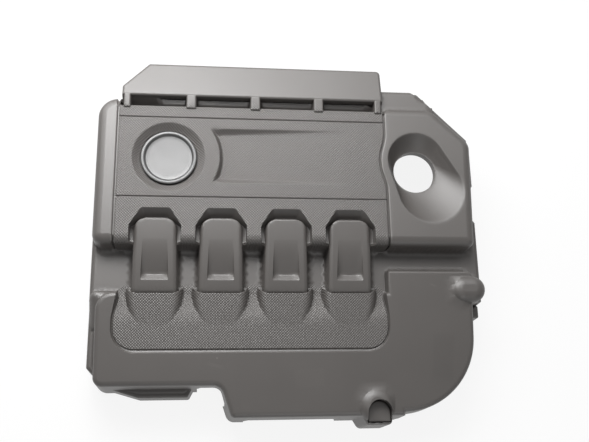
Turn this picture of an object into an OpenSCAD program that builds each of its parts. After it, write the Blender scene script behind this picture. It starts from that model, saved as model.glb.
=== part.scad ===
// Engine cover for a four-cylinder in-line engine, millimetres.
// +X is the right-hand side, +Y the bulkhead side, +Z up. The origin is in the middle
// of the footprint, at the level of the lowest rim.

/* [Overall] */
// Width over the lower flanks
body_w = 551; // [535:1:570]
// Depth from the front boss to the rear flap
body_d = 507.5; // [495:0.5:520]
// Thickness of the moulded wall
wall = 3; // [2.4:0.1:3.6]
// Draft of the side walls, degrees
draft = 4; // [2:0.5:5]

/* [Main panel] */
// Height of the main panel
main_z = 104; // [100:1:112]
// Front face of the main panel, measured at the rim level
main_front = -19; // [-24:0.5:-15]
// Rear edge of the main panel, measured at the rim level
main_rear = 203; // [199:1:205]
// Gap from the widest point to the left side of the panel
main_left_gap = 1.5; // [0:0.5:4]
// Gap from the widest point to the right side of the panel
main_right_gap = 9.5; // [8:0.5:14]
// How much the right side leans in towards the front
main_lean = 5; // [0:1:10]
// Radius of the rear left corner
main_corner_r = 34; // [26:1:38]
// Radius of the front left corner
main_front_r = 20; // [14:1:26]
// Width of the cut-off rear right corner
main_chamfer_w = 58; // [50:1:66]
// Depth of the cut-off rear right corner
main_chamfer_d = 60; // [50:1:66]
// Step in the rear edge to the right of the flap
main_step = 5; // [3:0.5:7]
// Radius of the rolled top edge
main_soft = 12; // [8:0.5:13]
// Width of the panel joint grooves
groove_w = 2.2; // [1.6:0.2:3]
// Depth of the panel joint grooves
groove_d = 1.4; // [1:0.1:1.8]
// Width of the smooth strip to the left of the centre panel
strip_w = 34.5; // [30:0.5:38]
// Gap from the widest point to the right edge of the centre panel
centre_gap = 142; // [138:0.5:145]
// Radius of the bends where the panel joint runs round the bowl
joint_bend = 8; // [4:1:12]
// Place of the rear cross groove
rear_groove_y = 167; // [160:1:171]
// Place of the front cross groove
front_groove_y = 52; // [47:1:55]

/* [Rear shoulder] */
// Drop of the rear right shoulder below the main panel
shoulder_drop = 6; // [4:0.5:9]
// Rear edge of the shoulder, measured at the rim level
shoulder_rear = 227; // [221:1:231]
// Size of the shoulder's cut-off corner
shoulder_cut = 76; // [70:1:82]

/* [Rear flap] */
// Gap from the left panel joint to the flap
flap_left_gap = 1; // [0:0.5:3]
// How far the flap reaches past the centre panel on the right
flap_right_over = 1.5; // [0:0.5:3]
// Front edge of the flap
flap_front = 197; // [195:1:200]
// Height of the flap at its front edge
flap_z = 108; // [106.5:0.5:112]
// Fall of the flap towards the rear, degrees
flap_fall = 10; // [6:1:12]
// Level where the flap's skirt ends
flap_base = 58; // [50:1:64]
// Width of the flap's cut-off rear left corner
flap_cut_w = 37; // [30:1:42]
// Depth of the flap's cut-off rear left corner
flap_cut_d = 40; // [32:1:44]
// Distance between the middle fingers
finger_pitch = 89.7; // [88:0.1:91]
// Width of the middle fingers
finger_w = 18.6; // [15:0.2:22]
// Width of the two end fingers
finger_end_w = 14.5; // [12:0.5:17]
// Place of the fingers' tips
finger_tip = 180; // [178:1:182]
// Distance of the centre finger from the middle of the centre panel
finger_shift = 2.5; // [0:0.5:5]
// Rear edge of the main panel along the slot in front of the flap
slot_edge = 187.5; // [186:0.5:189]
// Depth of the slot at the panel's edge
slot_d = 20; // [14:1:22]

/* [Badge seat] */
// Distance from the left panel joint to the middle of the badge
badge_in = 70; // [67:0.5:73]
// Middle of the badge, front to rear
badge_y = 109.5; // [106:0.5:112]
// Radius of the badge
badge_r = 38.4; // [36:0.2:40]
// Radius of the dish around the badge
dish_r = 50; // [48:0.5:52]
// Depth of the dish
dish_d = 7; // [5:0.5:9]
// Depth of the seat below the dish
seat_d = 2; // [1.5:0.1:2.5]
// Gap around the badge
badge_gap = 0.8; // [0.5:0.1:1.2]
// Height of the badge above its seat
badge_h = 5; // [4:0.2:7]
// Width of the badge's rim
badge_rim = 6.6; // [5:0.2:8]
// Diameter of the badge's locating pins
pin_d = 4; // [3:0.2:5]
// Distance of the pins from the middle
pin_at = 22; // [16:1:26]

/* [Script recess] */
// Front edge of the recess
recess_front = 73; // [70:1:77]
// Rear edge of the recess
recess_rear = 152; // [147:1:155]
// Gap from the recess's right end to the edge of the centre panel
recess_end_gap = 57; // [44:0.5:72]
// Depth at the left end
recess_d = 8; // [5:0.5:9]
// Land between the badge and the recess
recess_land = 19; // [16:0.5:22]
// Width of the recess's sloping sides
recess_side = 9; // [6:0.5:11]

/* [Oil filler bowl] */
// Gap from the widest point to the middle of the filler hole
hole_gap = 96.5; // [95:0.5:99]
// Middle of the filler hole, front to rear
hole_y = 100; // [98:1:102]
// Radius of the filler hole
hole_r = 29.5; // [26:0.5:30.5]
// Radius of the bowl's upper end
bowl_r = 41.5; // [40:0.5:43]
// How far the bowl's upper end lies behind the hole
bowl_shift = 11; // [9:0.5:12]
// How far the bowl's lower end lies to the right of the hole
bowl_reach_x = 18; // [15:0.5:20]
// How far the bowl's lower end lies in front of the hole
bowl_reach_y = 32; // [28:0.5:35]
// Radius of the bowl's lower end
bowl_low_r = 47.5; // [44:0.5:49]
// Depth of the bowl at the hole
bowl_d = 20; // [16:1:24]
// Length of the neck under the hole
neck_l = 8; // [5:1:12]

/* [Hoods] */
// Distance between the hoods, the same as between the cylinders
hood_pitch = 88; // [86:0.5:89]
// Distance of the hoods' middle from the middle of the centre panel
hood_shift = 0.2; // [-1:0.1:1.5]
// Width of a hood
hood_w = 59; // [55:0.5:61]
// Rear end of the hoods
hood_rear = 25; // [22:1:27]
// Front end of the hoods
hood_front = -73; // [-75:1:-71]
// Drop of the hoods' rear end below the main panel
hood_drop = 5; // [4:0.5:7]
// Fall of a hood from its rear to its front
hood_fall = 14; // [11:0.5:16]
// Radius of a hood's long edges
hood_soft = 7; // [5:0.5:9]
// How far a hood's sides spread towards the deck
hood_flare = 4.5; // [3:0.5:6]
// Radius of a hood's rear corners in plan
hood_corner = 14; // [10:1:18]
// Width of the notch in a hood's top
notch_w = 36; // [32:1:40]
// Depth of the notch
notch_d = 7; // [5:0.5:8]
// Distance from a hood's rear end to where the notch starts
notch_start = 35.3; // [30:0.5:42]
// Distance from a hood's rear end to the notch's deepest line
notch_deep = 75.5; // [70:0.5:78]
// Distance from a hood's rear end to the front edge of the notch
notch_stop = 84.3; // [81:0.5:88]
// Width of the pocket around a hood
pocket_w = 69; // [66:0.5:72]
// Width of the pocket's rear edge
pocket_rear_w = 41; // [36:1:46]
// Rear edge of the pockets
pocket_rear = 37; // [35:1:41]
// Depth of the pockets
pocket_d = 14; // [12:0.5:17]

/* [Deck and lower panel] */
// Height of the deck between the main panel and the lower panel
deck_z = 70; // [66:1:74]
// Rear end of the deck's flanks
deck_rear = 42; // [37:1:47]
// Gap from the widest point to the right flank
deck_right_gap = 2; // [0:0.5:4]
// Height of the lower panel at its rear edge
apron_z = 84.5; // [82:0.5:88]
// Fall of the lower panel towards the front, degrees
apron_fall = 6; // [5:0.5:7]
// Rear edge of the lower panel, measured at the rim level
apron_rear = -69; // [-73:1:-65]
// Gap from the widest point to the left side of the lower panel
apron_left_gap = 9.5; // [7:0.5:12]
// Front edge on the left, measured at the rim level
apron_step = -201; // [-205:1:-197]
// Front edge in the middle, measured at the rim level
apron_front = -246; // [-249:1:-243]
// Distance from the widest point to the left end of the deeper middle part
apron_mid_in = 184; // [180:0.5:188]
// Gap from the lower panel's left side to the grained field
field_left_gap = 26.5; // [24:0.5:29]
// How far the grained field reaches past the bulge's left side
field_over = 3; // [1:0.5:4]
// Front edge of the grained field
field_front = -149; // [-153:1:-145]
// Radius of the grained field's front corners
field_r = 24; // [18:1:30]
// Width of the raised frame around the field
frame_w = 5; // [3.5:0.5:6]
// Height of the frame
frame_h = 1.2; // [0.8:0.1:2]
// Crest of the field, where its rear slope ends
crest_y = -105; // [-109:1:-101]
// Width of a collar in front of a hood
collar_w = 75; // [72:0.5:78]
// Rear lip of the collars
collar_rear = -76; // [-78:1:-75]
// Height of the collars' lip above the deck
collar_h = 14.5; // [12:0.5:16]
// Place where the collars run out
collar_front = -123; // [-129:1:-117]

/* [Right bulge] */
// Distance from the centre panel's edge back to the bulge's left side
bulge_in = 4.5; // [3:0.5:6]
// Rear edge of the bulge, measured at the rim level
bulge_rear = -38.5; // [-42:0.5:-35]
// Gap from the widest point to the bulge's right side
bulge_gap = 20; // [17:1:23]
// Front edge of the bulge, measured at the rim level
bulge_front = -241; // [-243:1:-237]
// Radius of the bulge's large corner
bulge_r = 104; // [92:1:110]
// Half width of the dome over the right-hand mount
dome_r = 24; // [22:0.5:26]
// Middle of the right-hand dome, front to rear
dome_y = -71.5; // [-74:0.5:-69]
// Length of the right-hand dome
dome_l = 60; // [54:1:66]
// Rise of the domes above the surface around them
dome_rise = 8; // [6:0.5:10]

/* [Front boss] */
// Distance from the centre panel's edge back to the middle of the boss
boss_in = 24; // [22:0.5:27]
// Width of the front boss, measured at the rim level
boss_w = 62; // [58:1:66]
// Radius of the dome on the boss
boss_dome_r = 27; // [24:0.5:28]
// Gap from the front of the boss to the dome's middle
boss_dome_gap = 30; // [28:1:32]
// Level of the floor of the pocket in the boss
boss_floor = 58; // [54:1:61]
// Radius of the pocket in the boss
boss_pocket_r = 16; // [14:0.5:17]
// Distance of the pocket's middle to the right of the boss's middle
boss_pocket_shift = 5; // [3:0.5:7]
// Gap from the front of the boss to the pocket's middle
boss_pocket_gap = 22; // [20:0.5:24]
// Thickness of the boss's front lip before the pocket
boss_lip = 7; // [5:0.5:9]

/* [Rim] */
// Height of the ledge along the lower left side
ledge_z = 60; // [54:1:64]
// Height of the tab at the front
tab_z = 32; // [26:1:38]
// Height of the tab at the right
side_tab_z = 42; // [36:1:48]
// Height of the arch in the rear wall
rear_arch = 40; // [30:1:48]
// Height of the raised rim under the bulge
bulge_arch = 26; // [20:1:32]
// Height of the arch beside the front tab
front_arch = 46; // [40:1:52]
// Height of an arch's cut corners
arch_soft = 12; // [8:1:16]

/* [Mount holders] */
// Diameter of the ball stud that enters a grommet
ball_d = 10; // [9:0.5:11]
// Depth of the ball pocket
ball_depth = 11; // [10:0.5:12]
// Outer radius of a grommet
grommet_r = 10; // [9:0.5:11]
// Radius of the grommet's neck
neck_r = 7.2; // [6.8:0.1:7.6]
// Thickness of the holder's plate
plate_t = 3; // [2.5:0.1:3.5]
// Length of the grommet below the plate
grommet_low = 8; // [7:0.5:9]
// Thickness of the grommet's head above the plate
grommet_head = 4; // [3:0.5:5]
// Clearance between a grommet and its holder
fit = 0.25; // [0.2:0.05:0.4]
// Outer radius of a holder
holder_r = 15; // [14:0.5:15.5]
// Wall of a holder
holder_wall = 2.4; // [2:0.1:2.8]
// Distance of the rear left holder from the panel's left side
holder_left_in = 58; // [52:1:64]
// Distance of the rear left holder from the panel's rear edge
holder_left_down = 54; // [48:1:60]
// Distance of the rear right holder from the panel's right side
holder_right_in = 62; // [58:1:66]
// Distance of the rear right holder from the panel's rear edge
holder_right_down = 42; // [38:1:44]
// Distance from the side dome's end to the middle of its holder
side_holder_gap = 4; // [3:0.5:6]
// Distance of the front holder behind the dome's middle
front_holder_shift = 2; // [0:0.5:4]
// Level of the rear holders
rear_holder_z = 52; // [46:1:56]
// Level of the holder at the right
side_holder_z = 44; // [38:1:48]
// Level of the holder at the front
front_holder_z = 26; // [20:1:30]
// Thickness of the stiffening ribs
rib_t = 2.2; // [1.6:0.1:2.8]
// Depth of the stiffening ribs
rib_d = 12; // [8:1:16]
// Length of the ribs under the lower panel
front_rib_l = 110; // [90:1:120]

/* [Hidden] */

shell_grey = "#5f5b56";
chrome_grey = "#9a9a9c";
rubber_black = "#262626";

eps = 0.01;
far = 400;
left_x = -body_w / 2;
right_x = body_w / 2;
front_y = -body_d / 2;
rear_y = body_d / 2;
main_l = left_x + main_left_gap;
main_r = right_x - main_right_gap;
strip_x = main_l + strip_w;
centre_right = right_x - centre_gap;
panel_mid = (strip_x + centre_right) / 2;
flap_left = strip_x + flap_left_gap;
flap_right = centre_right + flap_right_over;
finger_mid = panel_mid + finger_shift;
badge_x = strip_x + badge_in;
recess_right = centre_right - recess_end_gap;
hole_x = right_x - hole_gap;
apron_left = left_x + apron_left_gap;
apron_mid = left_x + apron_mid_in;
bulge_left = centre_right - bulge_in;
field_left = apron_left + field_left_gap;
field_right = bulge_left + field_over;
boss_x = centre_right - boss_in;

hoods = [for (i = [0:3]) panel_mid + hood_shift + (i - 1.5) * hood_pitch];
fingers = [for (i = [-1:1]) [finger_mid + i * finger_pitch, finger_w]];
end_fingers = [[flap_left + 3 + finger_end_w / 2, finger_end_w],
               [flap_right - 3 - finger_end_w / 2, finger_end_w]];

// A plane is [height at y = 0, rise per millimetre of y].
main_plane = [main_z, 0];
shoulder_plane = [main_z - shoulder_drop, 0];
flap_plane = [flap_z + tan(flap_fall) * (flap_front + 4), -tan(flap_fall)];
deck_plane = [deck_z, 0];
apron_plane = [apron_z - tan(apron_fall) * (apron_rear - 8), tan(apron_fall)];
function height(plane, y) = plane[0] + plane[1] * y;
function raised(plane, by) = [plane[0] + by, plane[1]];

// The field's surface in side view: up from the deck to the crest, then parallel to the apron.
function field_line(drop) = [
    [far, deck_z - drop],
    [collar_rear - 5, deck_z - drop],
    [crest_y + 5, height(apron_plane, crest_y) - 3.4 - drop],
    [crest_y - 2, height(apron_plane, crest_y) - 2 - drop],
    [crest_y - 10, height(apron_plane, crest_y - 10) - 1.4 - drop],
    [-far, height(apron_plane, -far) - 1.4 - drop]];

main_outline = [
    [main_l, main_front, main_front_r],
    [main_r - main_lean, main_front, 16],
    [main_r, main_rear - main_chamfer_d, 26],
    [main_r - main_chamfer_w, main_rear - main_step, 30],
    [centre_right + 5, main_rear - main_step, 1],
    [centre_right + 1, main_rear, 1],
    [main_l, main_rear, main_corner_r]];
shoulder_outline = [
    [centre_right - 20, main_front + 90, 1],
    [main_r, main_front + 90, 1],
    [main_r, shoulder_rear - shoulder_cut, 12],
    [main_r - shoulder_cut, shoulder_rear, 14],
    [centre_right - 20, shoulder_rear, 1]];
flap_outline = [
    [flap_left, flap_front - 2, 1],
    [flap_right, flap_front - 2, 1],
    [flap_right, rear_y, 9],
    [flap_left + flap_cut_w, rear_y, 7],
    [flap_left, rear_y - flap_cut_d, 7]];
deck_outline = [
    [left_x, apron_rear - 20, 1],
    [right_x - deck_right_gap, apron_rear - 20, 1],
    [right_x - deck_right_gap, deck_rear - 10, 6],
    [right_x - deck_right_gap - 8, deck_rear, 6],
    [left_x + 5, deck_rear, 6],
    [left_x, deck_rear - 10, 6]];
apron_outline = [
    [apron_left, apron_step, 17],
    [apron_mid - 7, apron_step, 10],
    [apron_mid + 7, apron_front, 12],
    [bulge_left + 30, apron_front, 1],
    [bulge_left + 30, apron_rear, 1],
    [apron_left, apron_rear, 10]];
bulge_outline = [
    [bulge_left, bulge_front, 1],
    [right_x - bulge_gap, bulge_front, bulge_r],
    [right_x - bulge_gap + 2, bulge_rear, 14],
    [bulge_left, bulge_rear, 7]];
boss_outline = [
    [boss_x - boss_w / 2, apron_front + 12, 1],
    [boss_x - boss_w / 2 + 15, front_y, 10],
    [boss_x + boss_w / 2 - 4, front_y, 12],
    [boss_x + boss_w / 2, apron_front + 12, 1]];
shelf_outline = [
    [left_x, apron_step + 28, 7],
    [left_x + 11, apron_step + 17, 7],
    [apron_left + 18, apron_step + 17, 1],
    [apron_left + 18, apron_rear - 14, 1],
    [left_x, apron_rear - 14, 1]];
hump_outline = [
    [left_x + 1, apron_rear - 30, 9],
    [apron_left + 23, apron_rear - 30, 9],
    [apron_left + 23, apron_rear + 2, 12],
    [left_x + 1, apron_rear + 2, 12]];
tab_outline = [
    [apron_left + 19.5, apron_step + 2, 2],
    [apron_left + 68.5, apron_step - 11, 4],
    [apron_mid - 47, apron_step - 10, 4],
    [apron_mid - 36, apron_step + 10, 2],
    [apron_left + 19.5, apron_step + 10, 1]];
side_tab_outline = [
    [right_x - 40, dome_y - 37, 1],
    [right_x, dome_y - 37, 5],
    [right_x, dome_y - 14, 5],
    [right_x - 40, dome_y - 14, 1]];
field_outline = [
    [field_left, field_front, field_r],
    [field_right, field_front, field_r],
    [field_right, apron_rear + 60, 1],
    [field_left + 8, apron_rear + 60, 1],
    [field_left + 7, apron_rear - 8, 20],
    [field_left, apron_rear - 40, 40]];

function disc_outline(x, y, r) = [for (c = [[-1, -1], [1, -1], [1, 1], [-1, 1]])
    [x + c.x * r, y + c.y * r, r - eps]];
function capsule_outline(x0, x1, y, r) = [
    [x0, y - r, r - eps], [x1, y - r, r - eps], [x1, y + r, r - eps], [x0, y + r, r - eps]];

holders = [
    [main_l + holder_left_in, main_rear - holder_left_down, rear_holder_z, 0],
    [main_r - holder_right_in, main_rear - holder_right_down, rear_holder_z, 180],
    [right_x - dome_r - side_holder_gap, dome_y, side_holder_z, 180],
    [boss_x, front_y + boss_dome_gap + front_holder_shift, front_holder_z, 90]];

// Arches in the rim as [left, right, front, rear, height], each reaching past the wall it cuts.
past = 20;
arches = [
    [strip_x + 89.5, centre_right - 73.5, rear_y - 80, rear_y + past, rear_arch],
    [centre_right + 26.5, right_x - 60.5, main_rear - 30, rear_y, rear_arch * 0.8],
    [apron_mid - 36, apron_mid + 2, apron_step - past, apron_step + 25, front_arch],
    [apron_mid + 28, boss_x - boss_w / 2 - 14, apron_front - past, apron_front + 25, bulge_arch],
    [boss_x + boss_w / 2 + 10, right_x + past, bulge_front - past, dome_y - 44, bulge_arch],
    [right_x - 40, right_x + past, 0, deck_rear + 60, bulge_arch * 0.7]];

function unit(v) = v / norm(v);
function spin(v, a) = [v.x * cos(a) - v.y * sin(a), v.x * sin(a) + v.y * cos(a)];

// Points of an outline of [x, y, radius] corners, moved inward by d.
function ring(outline, d, steps) = [
    for (i = [0:len(outline) - 1])
    let (n = len(outline), p = outline[i], a = outline[(i + n - 1) % n], b = outline[(i + 1) % n],
         e1 = unit([p.x - a.x, p.y - a.y]), e2 = unit([b.x - p.x, b.y - p.y]),
         n1 = [-e1.y, e1.x], n2 = [-e2.y, e2.x],
         bend = atan2(e1.x * e2.y - e1.y * e2.x, e1 * e2), s = bend < 0 ? -1 : 1,
         r = max(p[2] - s * d, 0.3), c = [p.x, p.y] + (n1 + n2) / (1 + n1 * n2) * (d + s * r),
         k = p[2] > 3 ? ceil(steps * (0.4 + abs(bend) / 90 * 0.6)) : 1)
    for (j = [0:k]) c - s * r * spin(n1, bend * j / k)];

// Solid through a list of closed rings with equal numbers of points.
module loft(rings) {
    n = len(rings[0]);
    points = [for (r = rings) each r];
    sides = [for (j = [0:len(rings) - 2], i = [0:n - 1])
        let (a = j * n + i, b = j * n + (i + 1) % n)
        each [[a, a + n, b + n], [a, b + n, b]]];
    first = [for (i = [0:n - 1]) i];
    last = [for (i = [n - 1:-1:0]) (len(rings) - 1) * n + i];
    polyhedron(points, concat(sides, [first], [last]), convexity = 6);
}

// Drafted block with a rolled top edge. A positive skin gives the hollow inside it.
module pad(outline, base, plane, soft, skin = 0, steps = 4) {
    edge = max(soft - max(skin, 0), 0.8);
    count = skin > 0 ? max(2, steps - 3) : steps;
    rolls = skin > 0 ? 1 : soft < 5 ? 2 : 3;
    middle = (min([for (p = outline) p.y]) + max([for (p = outline) p.y])) / 2;
    lean = tan(draft) * (height(plane, middle) - soft - base);
    foot = ring(outline, skin, count);
    loft(concat(
        [[for (p = foot) [p.x, p.y, skin > 0 ? base - 1 : base]]],
        [for (k = [0:rolls])
            let (a = 90 * k / rolls, q = ring(outline, skin + lean + edge * (1 - cos(a)), count))
            [for (p = q) [p.x, p.y, height(plane, p.y) - skin - edge * (1 - sin(a))]]]));
}

// One row across a hood or a collar: half width, height, edge radius, foot level and spread.
function arch_row(x, y, half, z, r, foot, flare = 1.5) = [
    [x + half + flare, y, foot],
    for (k = [0:3]) [x + half - r + r * cos(30 * k), y, z - r + r * sin(30 * k)],
    for (k = [0:3]) [x - half + r - r * sin(30 * k), y, z - r + r * cos(30 * k)],
    [x - half - flare, y, foot]];

function hood_top(t) = main_z - hood_drop - hood_fall * (0.45 * t + 0.55 * t * t);
module hood(x, skin) {
    r = max(hood_soft - skin, 2);
    l = hood_rear - hood_front;
    ends = [0, 0.35, 1];
    loft([
        for (t = ends)
            arch_row(x, hood_rear - skin - hood_corner * (1 - cos(90 * t)),
                hood_w / 2 - skin - hood_corner * (1 - sin(90 * t)),
                hood_top(0) - skin - 2.5 * (1 - t), r, deck_z - 4 - skin, hood_flare),
        for (t = [0.35, 0.6, 0.8, 1])
            arch_row(x, hood_rear - t * l, hood_w / 2 - skin, hood_top(t) - skin, r,
                deck_z - 4 - skin, hood_flare)]);
}

module hood_notch(x) {
    l = hood_rear - hood_front;
    start = notch_start / l;
    deep = notch_deep / l;
    stop = notch_stop / l;
    y = function (t) hood_rear - t * l;
    hull() {
        for (sx = [-1, 1]) {
            translate([x + sx * notch_w / 2, y(start), hood_top(start)]) cube(0.1, center = true);
            translate([x + sx * notch_w / 2, y(stop), hood_top(stop)]) cube(0.1, center = true);
            translate([x + sx * notch_w / 2, y(deep), hood_top(start) + 4]) cube(0.1, center = true);
            translate([x + sx * (notch_w / 2 - 4), y(deep), hood_top(deep) - notch_d])
                cube(0.1, center = true);
        }
    }
}

// Pocket around a hood, open to the front.
module hood_pocket(x, grow) {
    top = pocket_w / 2;
    rear = pocket_rear_w / 2;
    shape = function (d, e) [
        [x - top + d - grow, main_front - 20], [x + top - d + grow, main_front - 20],
        [x + top - d + grow, pocket_rear - 25 - d / 2], [x + rear - e + grow, pocket_rear - e + grow],
        [x - rear + e - grow, pocket_rear - e + grow], [x - top + d - grow, pocket_rear - 25 - d / 2]];
    low = main_z - pocket_d - grow;
    lower = shape(2.5, 9);
    upper = shape(0, 0);
    loft([[for (p = lower) [p.x, p.y, low]],
          [for (p = upper) [p.x, p.y, main_z]],
          [for (p = upper) [p.x, p.y, main_z + 20]]]);
}

module collar(x, skin) {
    z = deck_z + collar_h;
    low = height(apron_plane, collar_front) - 2;
    rows = [[0, 0.84, 0.2], [0.04, 0.95, 1.2], [0.14, 1, 2.5], [0.5, 1, 4], [1, 0.72, 5]];
    l = collar_rear - collar_front;
    loft([for (q = rows)
        arch_row(x, collar_rear - skin - q[0] * (l - skin), collar_w / 2 * q[1] - skin,
            z + (low - z) * q[0] - skin - (q[0] == 0 ? 1 : 0), max(q[2] - skin / 2, 0.2),
            deck_z - 12 - skin)]);
}

// Slot between the panel's rear edge and the slanted face below the flap.
module slot_cut(grow) {
    low = main_z - slot_d - grow;
    translate([flap_left + 1 - grow, 0, 0]) rotate([90, 0, 90])
        linear_extrude(height = flap_right - flap_left - 2 + 2 * grow) polygon([
            [slot_edge - grow, main_z + 1], [slot_edge + 1.2 - grow, low],
            [slot_edge + 2, low], [flap_front + 3, main_z + 1 - grow]]);
}

module finger(f) {
    half = f[1] / 2;
    rise = 3;
    hull() {
        for (sx = [-1, 1]) {
            translate([f[0] + sx * (half - 2.5), flap_front + 5, flap_z - 3.2])
                cylinder(h = 2.6, r1 = 2.5, r2 = 1, $fn = 8);
            translate([f[0] + sx * (half - 2.5), finger_tip + 3, main_z + rise - 3])
                cylinder(h = 2.6, r1 = 2.5, r2 = 1, $fn = 8);
            translate([f[0] + sx * (half - 1), flap_front + 5, main_z - 22])
                cube([2, 2, 1], center = true);
            translate([f[0] + sx * (half - 1), finger_tip + 2, main_z - 9])
                cube([2, 2, 1], center = true);
        }
    }
}

module finger_notch(f) {
    hull() {
        for (sx = [-1, 1]) {
            translate([f[0] + sx * (f[1] / 2 + 4), finger_tip - 4, main_z + 0.5]) cube(1, center = true);
            translate([f[0] + sx * (f[1] / 2 + 1.5), finger_tip - 1, main_z - 2]) cube(1, center = true);
            translate([f[0] + sx * (f[1] / 2 + 4), flap_front, main_z + 0.5]) cube(1, center = true);
            translate([f[0] + sx * (f[1] / 2 + 2), flap_front, main_z - 3]) cube(1, center = true);
        }
    }
}

// Bowl round the filler hole, a long funnel that is deepest at the hole.
module bowl(grow) {
    hull() {
        for (z = [main_z, main_z + 10]) {
            translate([hole_x - 1, hole_y + bowl_shift, z])
                cylinder(h = 1, r = bowl_r + grow, $fn = grow > 0 ? 24 : 40);
            translate([hole_x + bowl_reach_x, hole_y - bowl_reach_y, z])
                cylinder(h = 1, r = bowl_low_r + grow, $fn = grow > 0 ? 24 : 40);
        }
        translate([hole_x, hole_y, main_z - bowl_d - grow])
            cylinder(h = 1, r = hole_r + 1.5 + grow / 2, $fn = 32);
    }
}

// Dish and seat for the badge.
module badge_dish(grow) {
    translate([badge_x, badge_y, main_z - dish_d - grow])
        cylinder(h = dish_d + grow + eps, r1 = badge_r + badge_gap + 1.5 + grow, r2 = dish_r + grow,
            $fn = grow > 0 ? 24 : 48);
    translate([badge_x, badge_y, main_z - dish_d - seat_d - grow])
        cylinder(h = seat_d + 1, r = badge_r + badge_gap + grow, $fn = grow > 0 ? 24 : 48);
}

// Shallow recess beside the badge, deepest at its left end.
module script_recess(grow) {
    left = badge_x + 30;
    full = recess_right - left;
    difference() {
        hull() {
            for (y = [recess_front - grow, recess_rear + grow], z = [main_z, main_z + 5])
                translate([left, y, z]) cube(eps);
            for (y = [recess_front + recess_side - grow, recess_rear - recess_side + grow])
                translate([left, y, main_z - recess_d - grow]) cube(eps);
            for (y = [recess_front - grow, recess_rear + grow], z = [main_z - grow, main_z + 5])
                translate([left + full, y, z]) cube(eps);
        }
        translate([badge_x, badge_y, main_z - recess_d - grow - 1])
            cylinder(h = recess_d + grow + 8, r1 = dish_r + recess_land + 6 - grow,
                r2 = dish_r + recess_land - 3 - grow, $fn = grow > 0 ? 24 : 48);
    }
}

// Centre panel outline, which bends round the bowl on the right.
module centre_panel(d) {
    offset(r = joint_bend, $fn = 32) offset(delta = -d - joint_bend) difference() {
        translate([strip_x, main_front - 30]) square([centre_right - strip_x, far]);
        translate([hole_x - 1, hole_y + bowl_shift - 3]) circle(r = bowl_r + 11, $fn = 48);
    }
}

module groove_lines() {
    difference() {
        centre_panel(-groove_w);
        centre_panel(0);
    }
    intersection() {
        centre_panel(-groove_w);
        for (y = [rear_groove_y, front_groove_y])
            translate([-far, y - groove_w / 2]) square([2 * far, groove_w]);
    }
}

module main_grooves() {
    difference() {
        translate([0, 0, deck_z]) linear_extrude(height = 60) groove_lines();
        pad(main_outline, 0, main_plane, main_soft, groove_d);
        translate([-far, main_rear - 13, 0]) cube([2 * far, 60, far]);
        for (x = hoods) translate([x - pocket_w / 2 - 1, -60, 0]) cube([pocket_w + 2, 75, far]);
    }
}

module field_shape(d) {
    polygon(ring(field_outline, d, 5));
}

// Everything above the grained field, with its sides moved out by grow.
module over_field(drop, inset) {
    intersection() {
        translate([0, 0, deck_z - 10]) linear_extrude(height = 60) field_shape(inset);
        rotate([90, 0, 90]) translate([0, 0, -far]) linear_extrude(height = 2 * far)
            polygon(concat(field_line(drop), [[-far, far], [far, far]]));
    }
}

module low_forms(skin) {
    pad(deck_outline, 0, deck_plane, 5, skin);
    difference() {
        union() {
            pad(apron_outline, 0, apron_plane, 8, skin);
            pad(bulge_outline, 0, raised(apron_plane, 0.02), 6, skin, 8);
            pad(hump_outline, 0, raised(apron_plane, -1), 8, skin);
            if (skin == 0) intersection() {
                pad(apron_outline, 0, raised(apron_plane, frame_h), 8, 0);
                translate([0, 0, 20]) linear_extrude(height = 90) difference() {
                    field_shape(-frame_w);
                    field_shape(0);
                }
            }
        }
        over_field(skin, -skin);
        if (skin == 0) difference() {
            over_field(groove_d, 0);
            translate([0, 0, 20]) linear_extrude(height = 120) field_shape(groove_w);
        }
    }
    pad(boss_outline, 0, apron_plane, 6, skin);
    pad(capsule_outline(right_x - dome_l, right_x, dome_y, dome_r), 0,
        raised([height(apron_plane, dome_y), 0], dome_rise), 13, skin);
    pad(shelf_outline, 0, [ledge_z, 0], 4, skin);
    pad(tab_outline, 0, [tab_z, 0], 3, skin);
    pad(side_tab_outline, 0, [side_tab_z, 0], 3, skin);
}

module boss_forms(skin) {
    difference() {
        pad(disc_outline(boss_x, front_y + boss_dome_gap, boss_dome_r), 20,
            raised([height(apron_plane, front_y + boss_dome_gap), 0], dome_rise), 13, skin);
        boss_pocket(skin);
    }
}

module boss_pocket(grow) {
    x = boss_x + boss_pocket_shift;
    y = front_y + boss_pocket_gap;
    l = boss_pocket_gap - boss_lip;
    translate([x, 0, boss_floor - grow]) linear_extrude(height = 60) {
        translate([0, y]) circle(r = boss_pocket_r + grow, $fn = 32);
        translate([-boss_pocket_r - grow, y - l]) square([2 * (boss_pocket_r + grow), l]);
    }
}

module high_forms(skin) {
    difference() {
        union() {
            pad(main_outline, 0, main_plane, main_soft, skin, 5);
            pad(shoulder_outline, 0, shoulder_plane, 7, skin);
        }
        for (x = hoods) hood_pocket(x, skin);
        for (f = concat(fingers, end_fingers)) if (skin == 0) finger_notch(f);
        bowl(skin);
        badge_dish(skin);
        script_recess(skin);
        slot_cut(skin);
        if (skin == 0) main_grooves();
    }
    pad(flap_outline, flap_base, flap_plane, 4, skin);
    if (skin == 0) for (f = concat(fingers, end_fingers)) finger(f);
}

// The whole outer shape for skin 0, or the hollow inside the wall.
module form(skin) {
    difference() {
        union() {
            high_forms(skin);
            low_forms(skin);
        }
        boss_pocket(skin);
    }
    boss_forms(skin);
    for (x = hoods) difference() {
        union() {
            hood(x, skin);
            collar(x, skin);
        }
        translate([0, 0, -skin]) hood_notch(x);
    }
}

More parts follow.
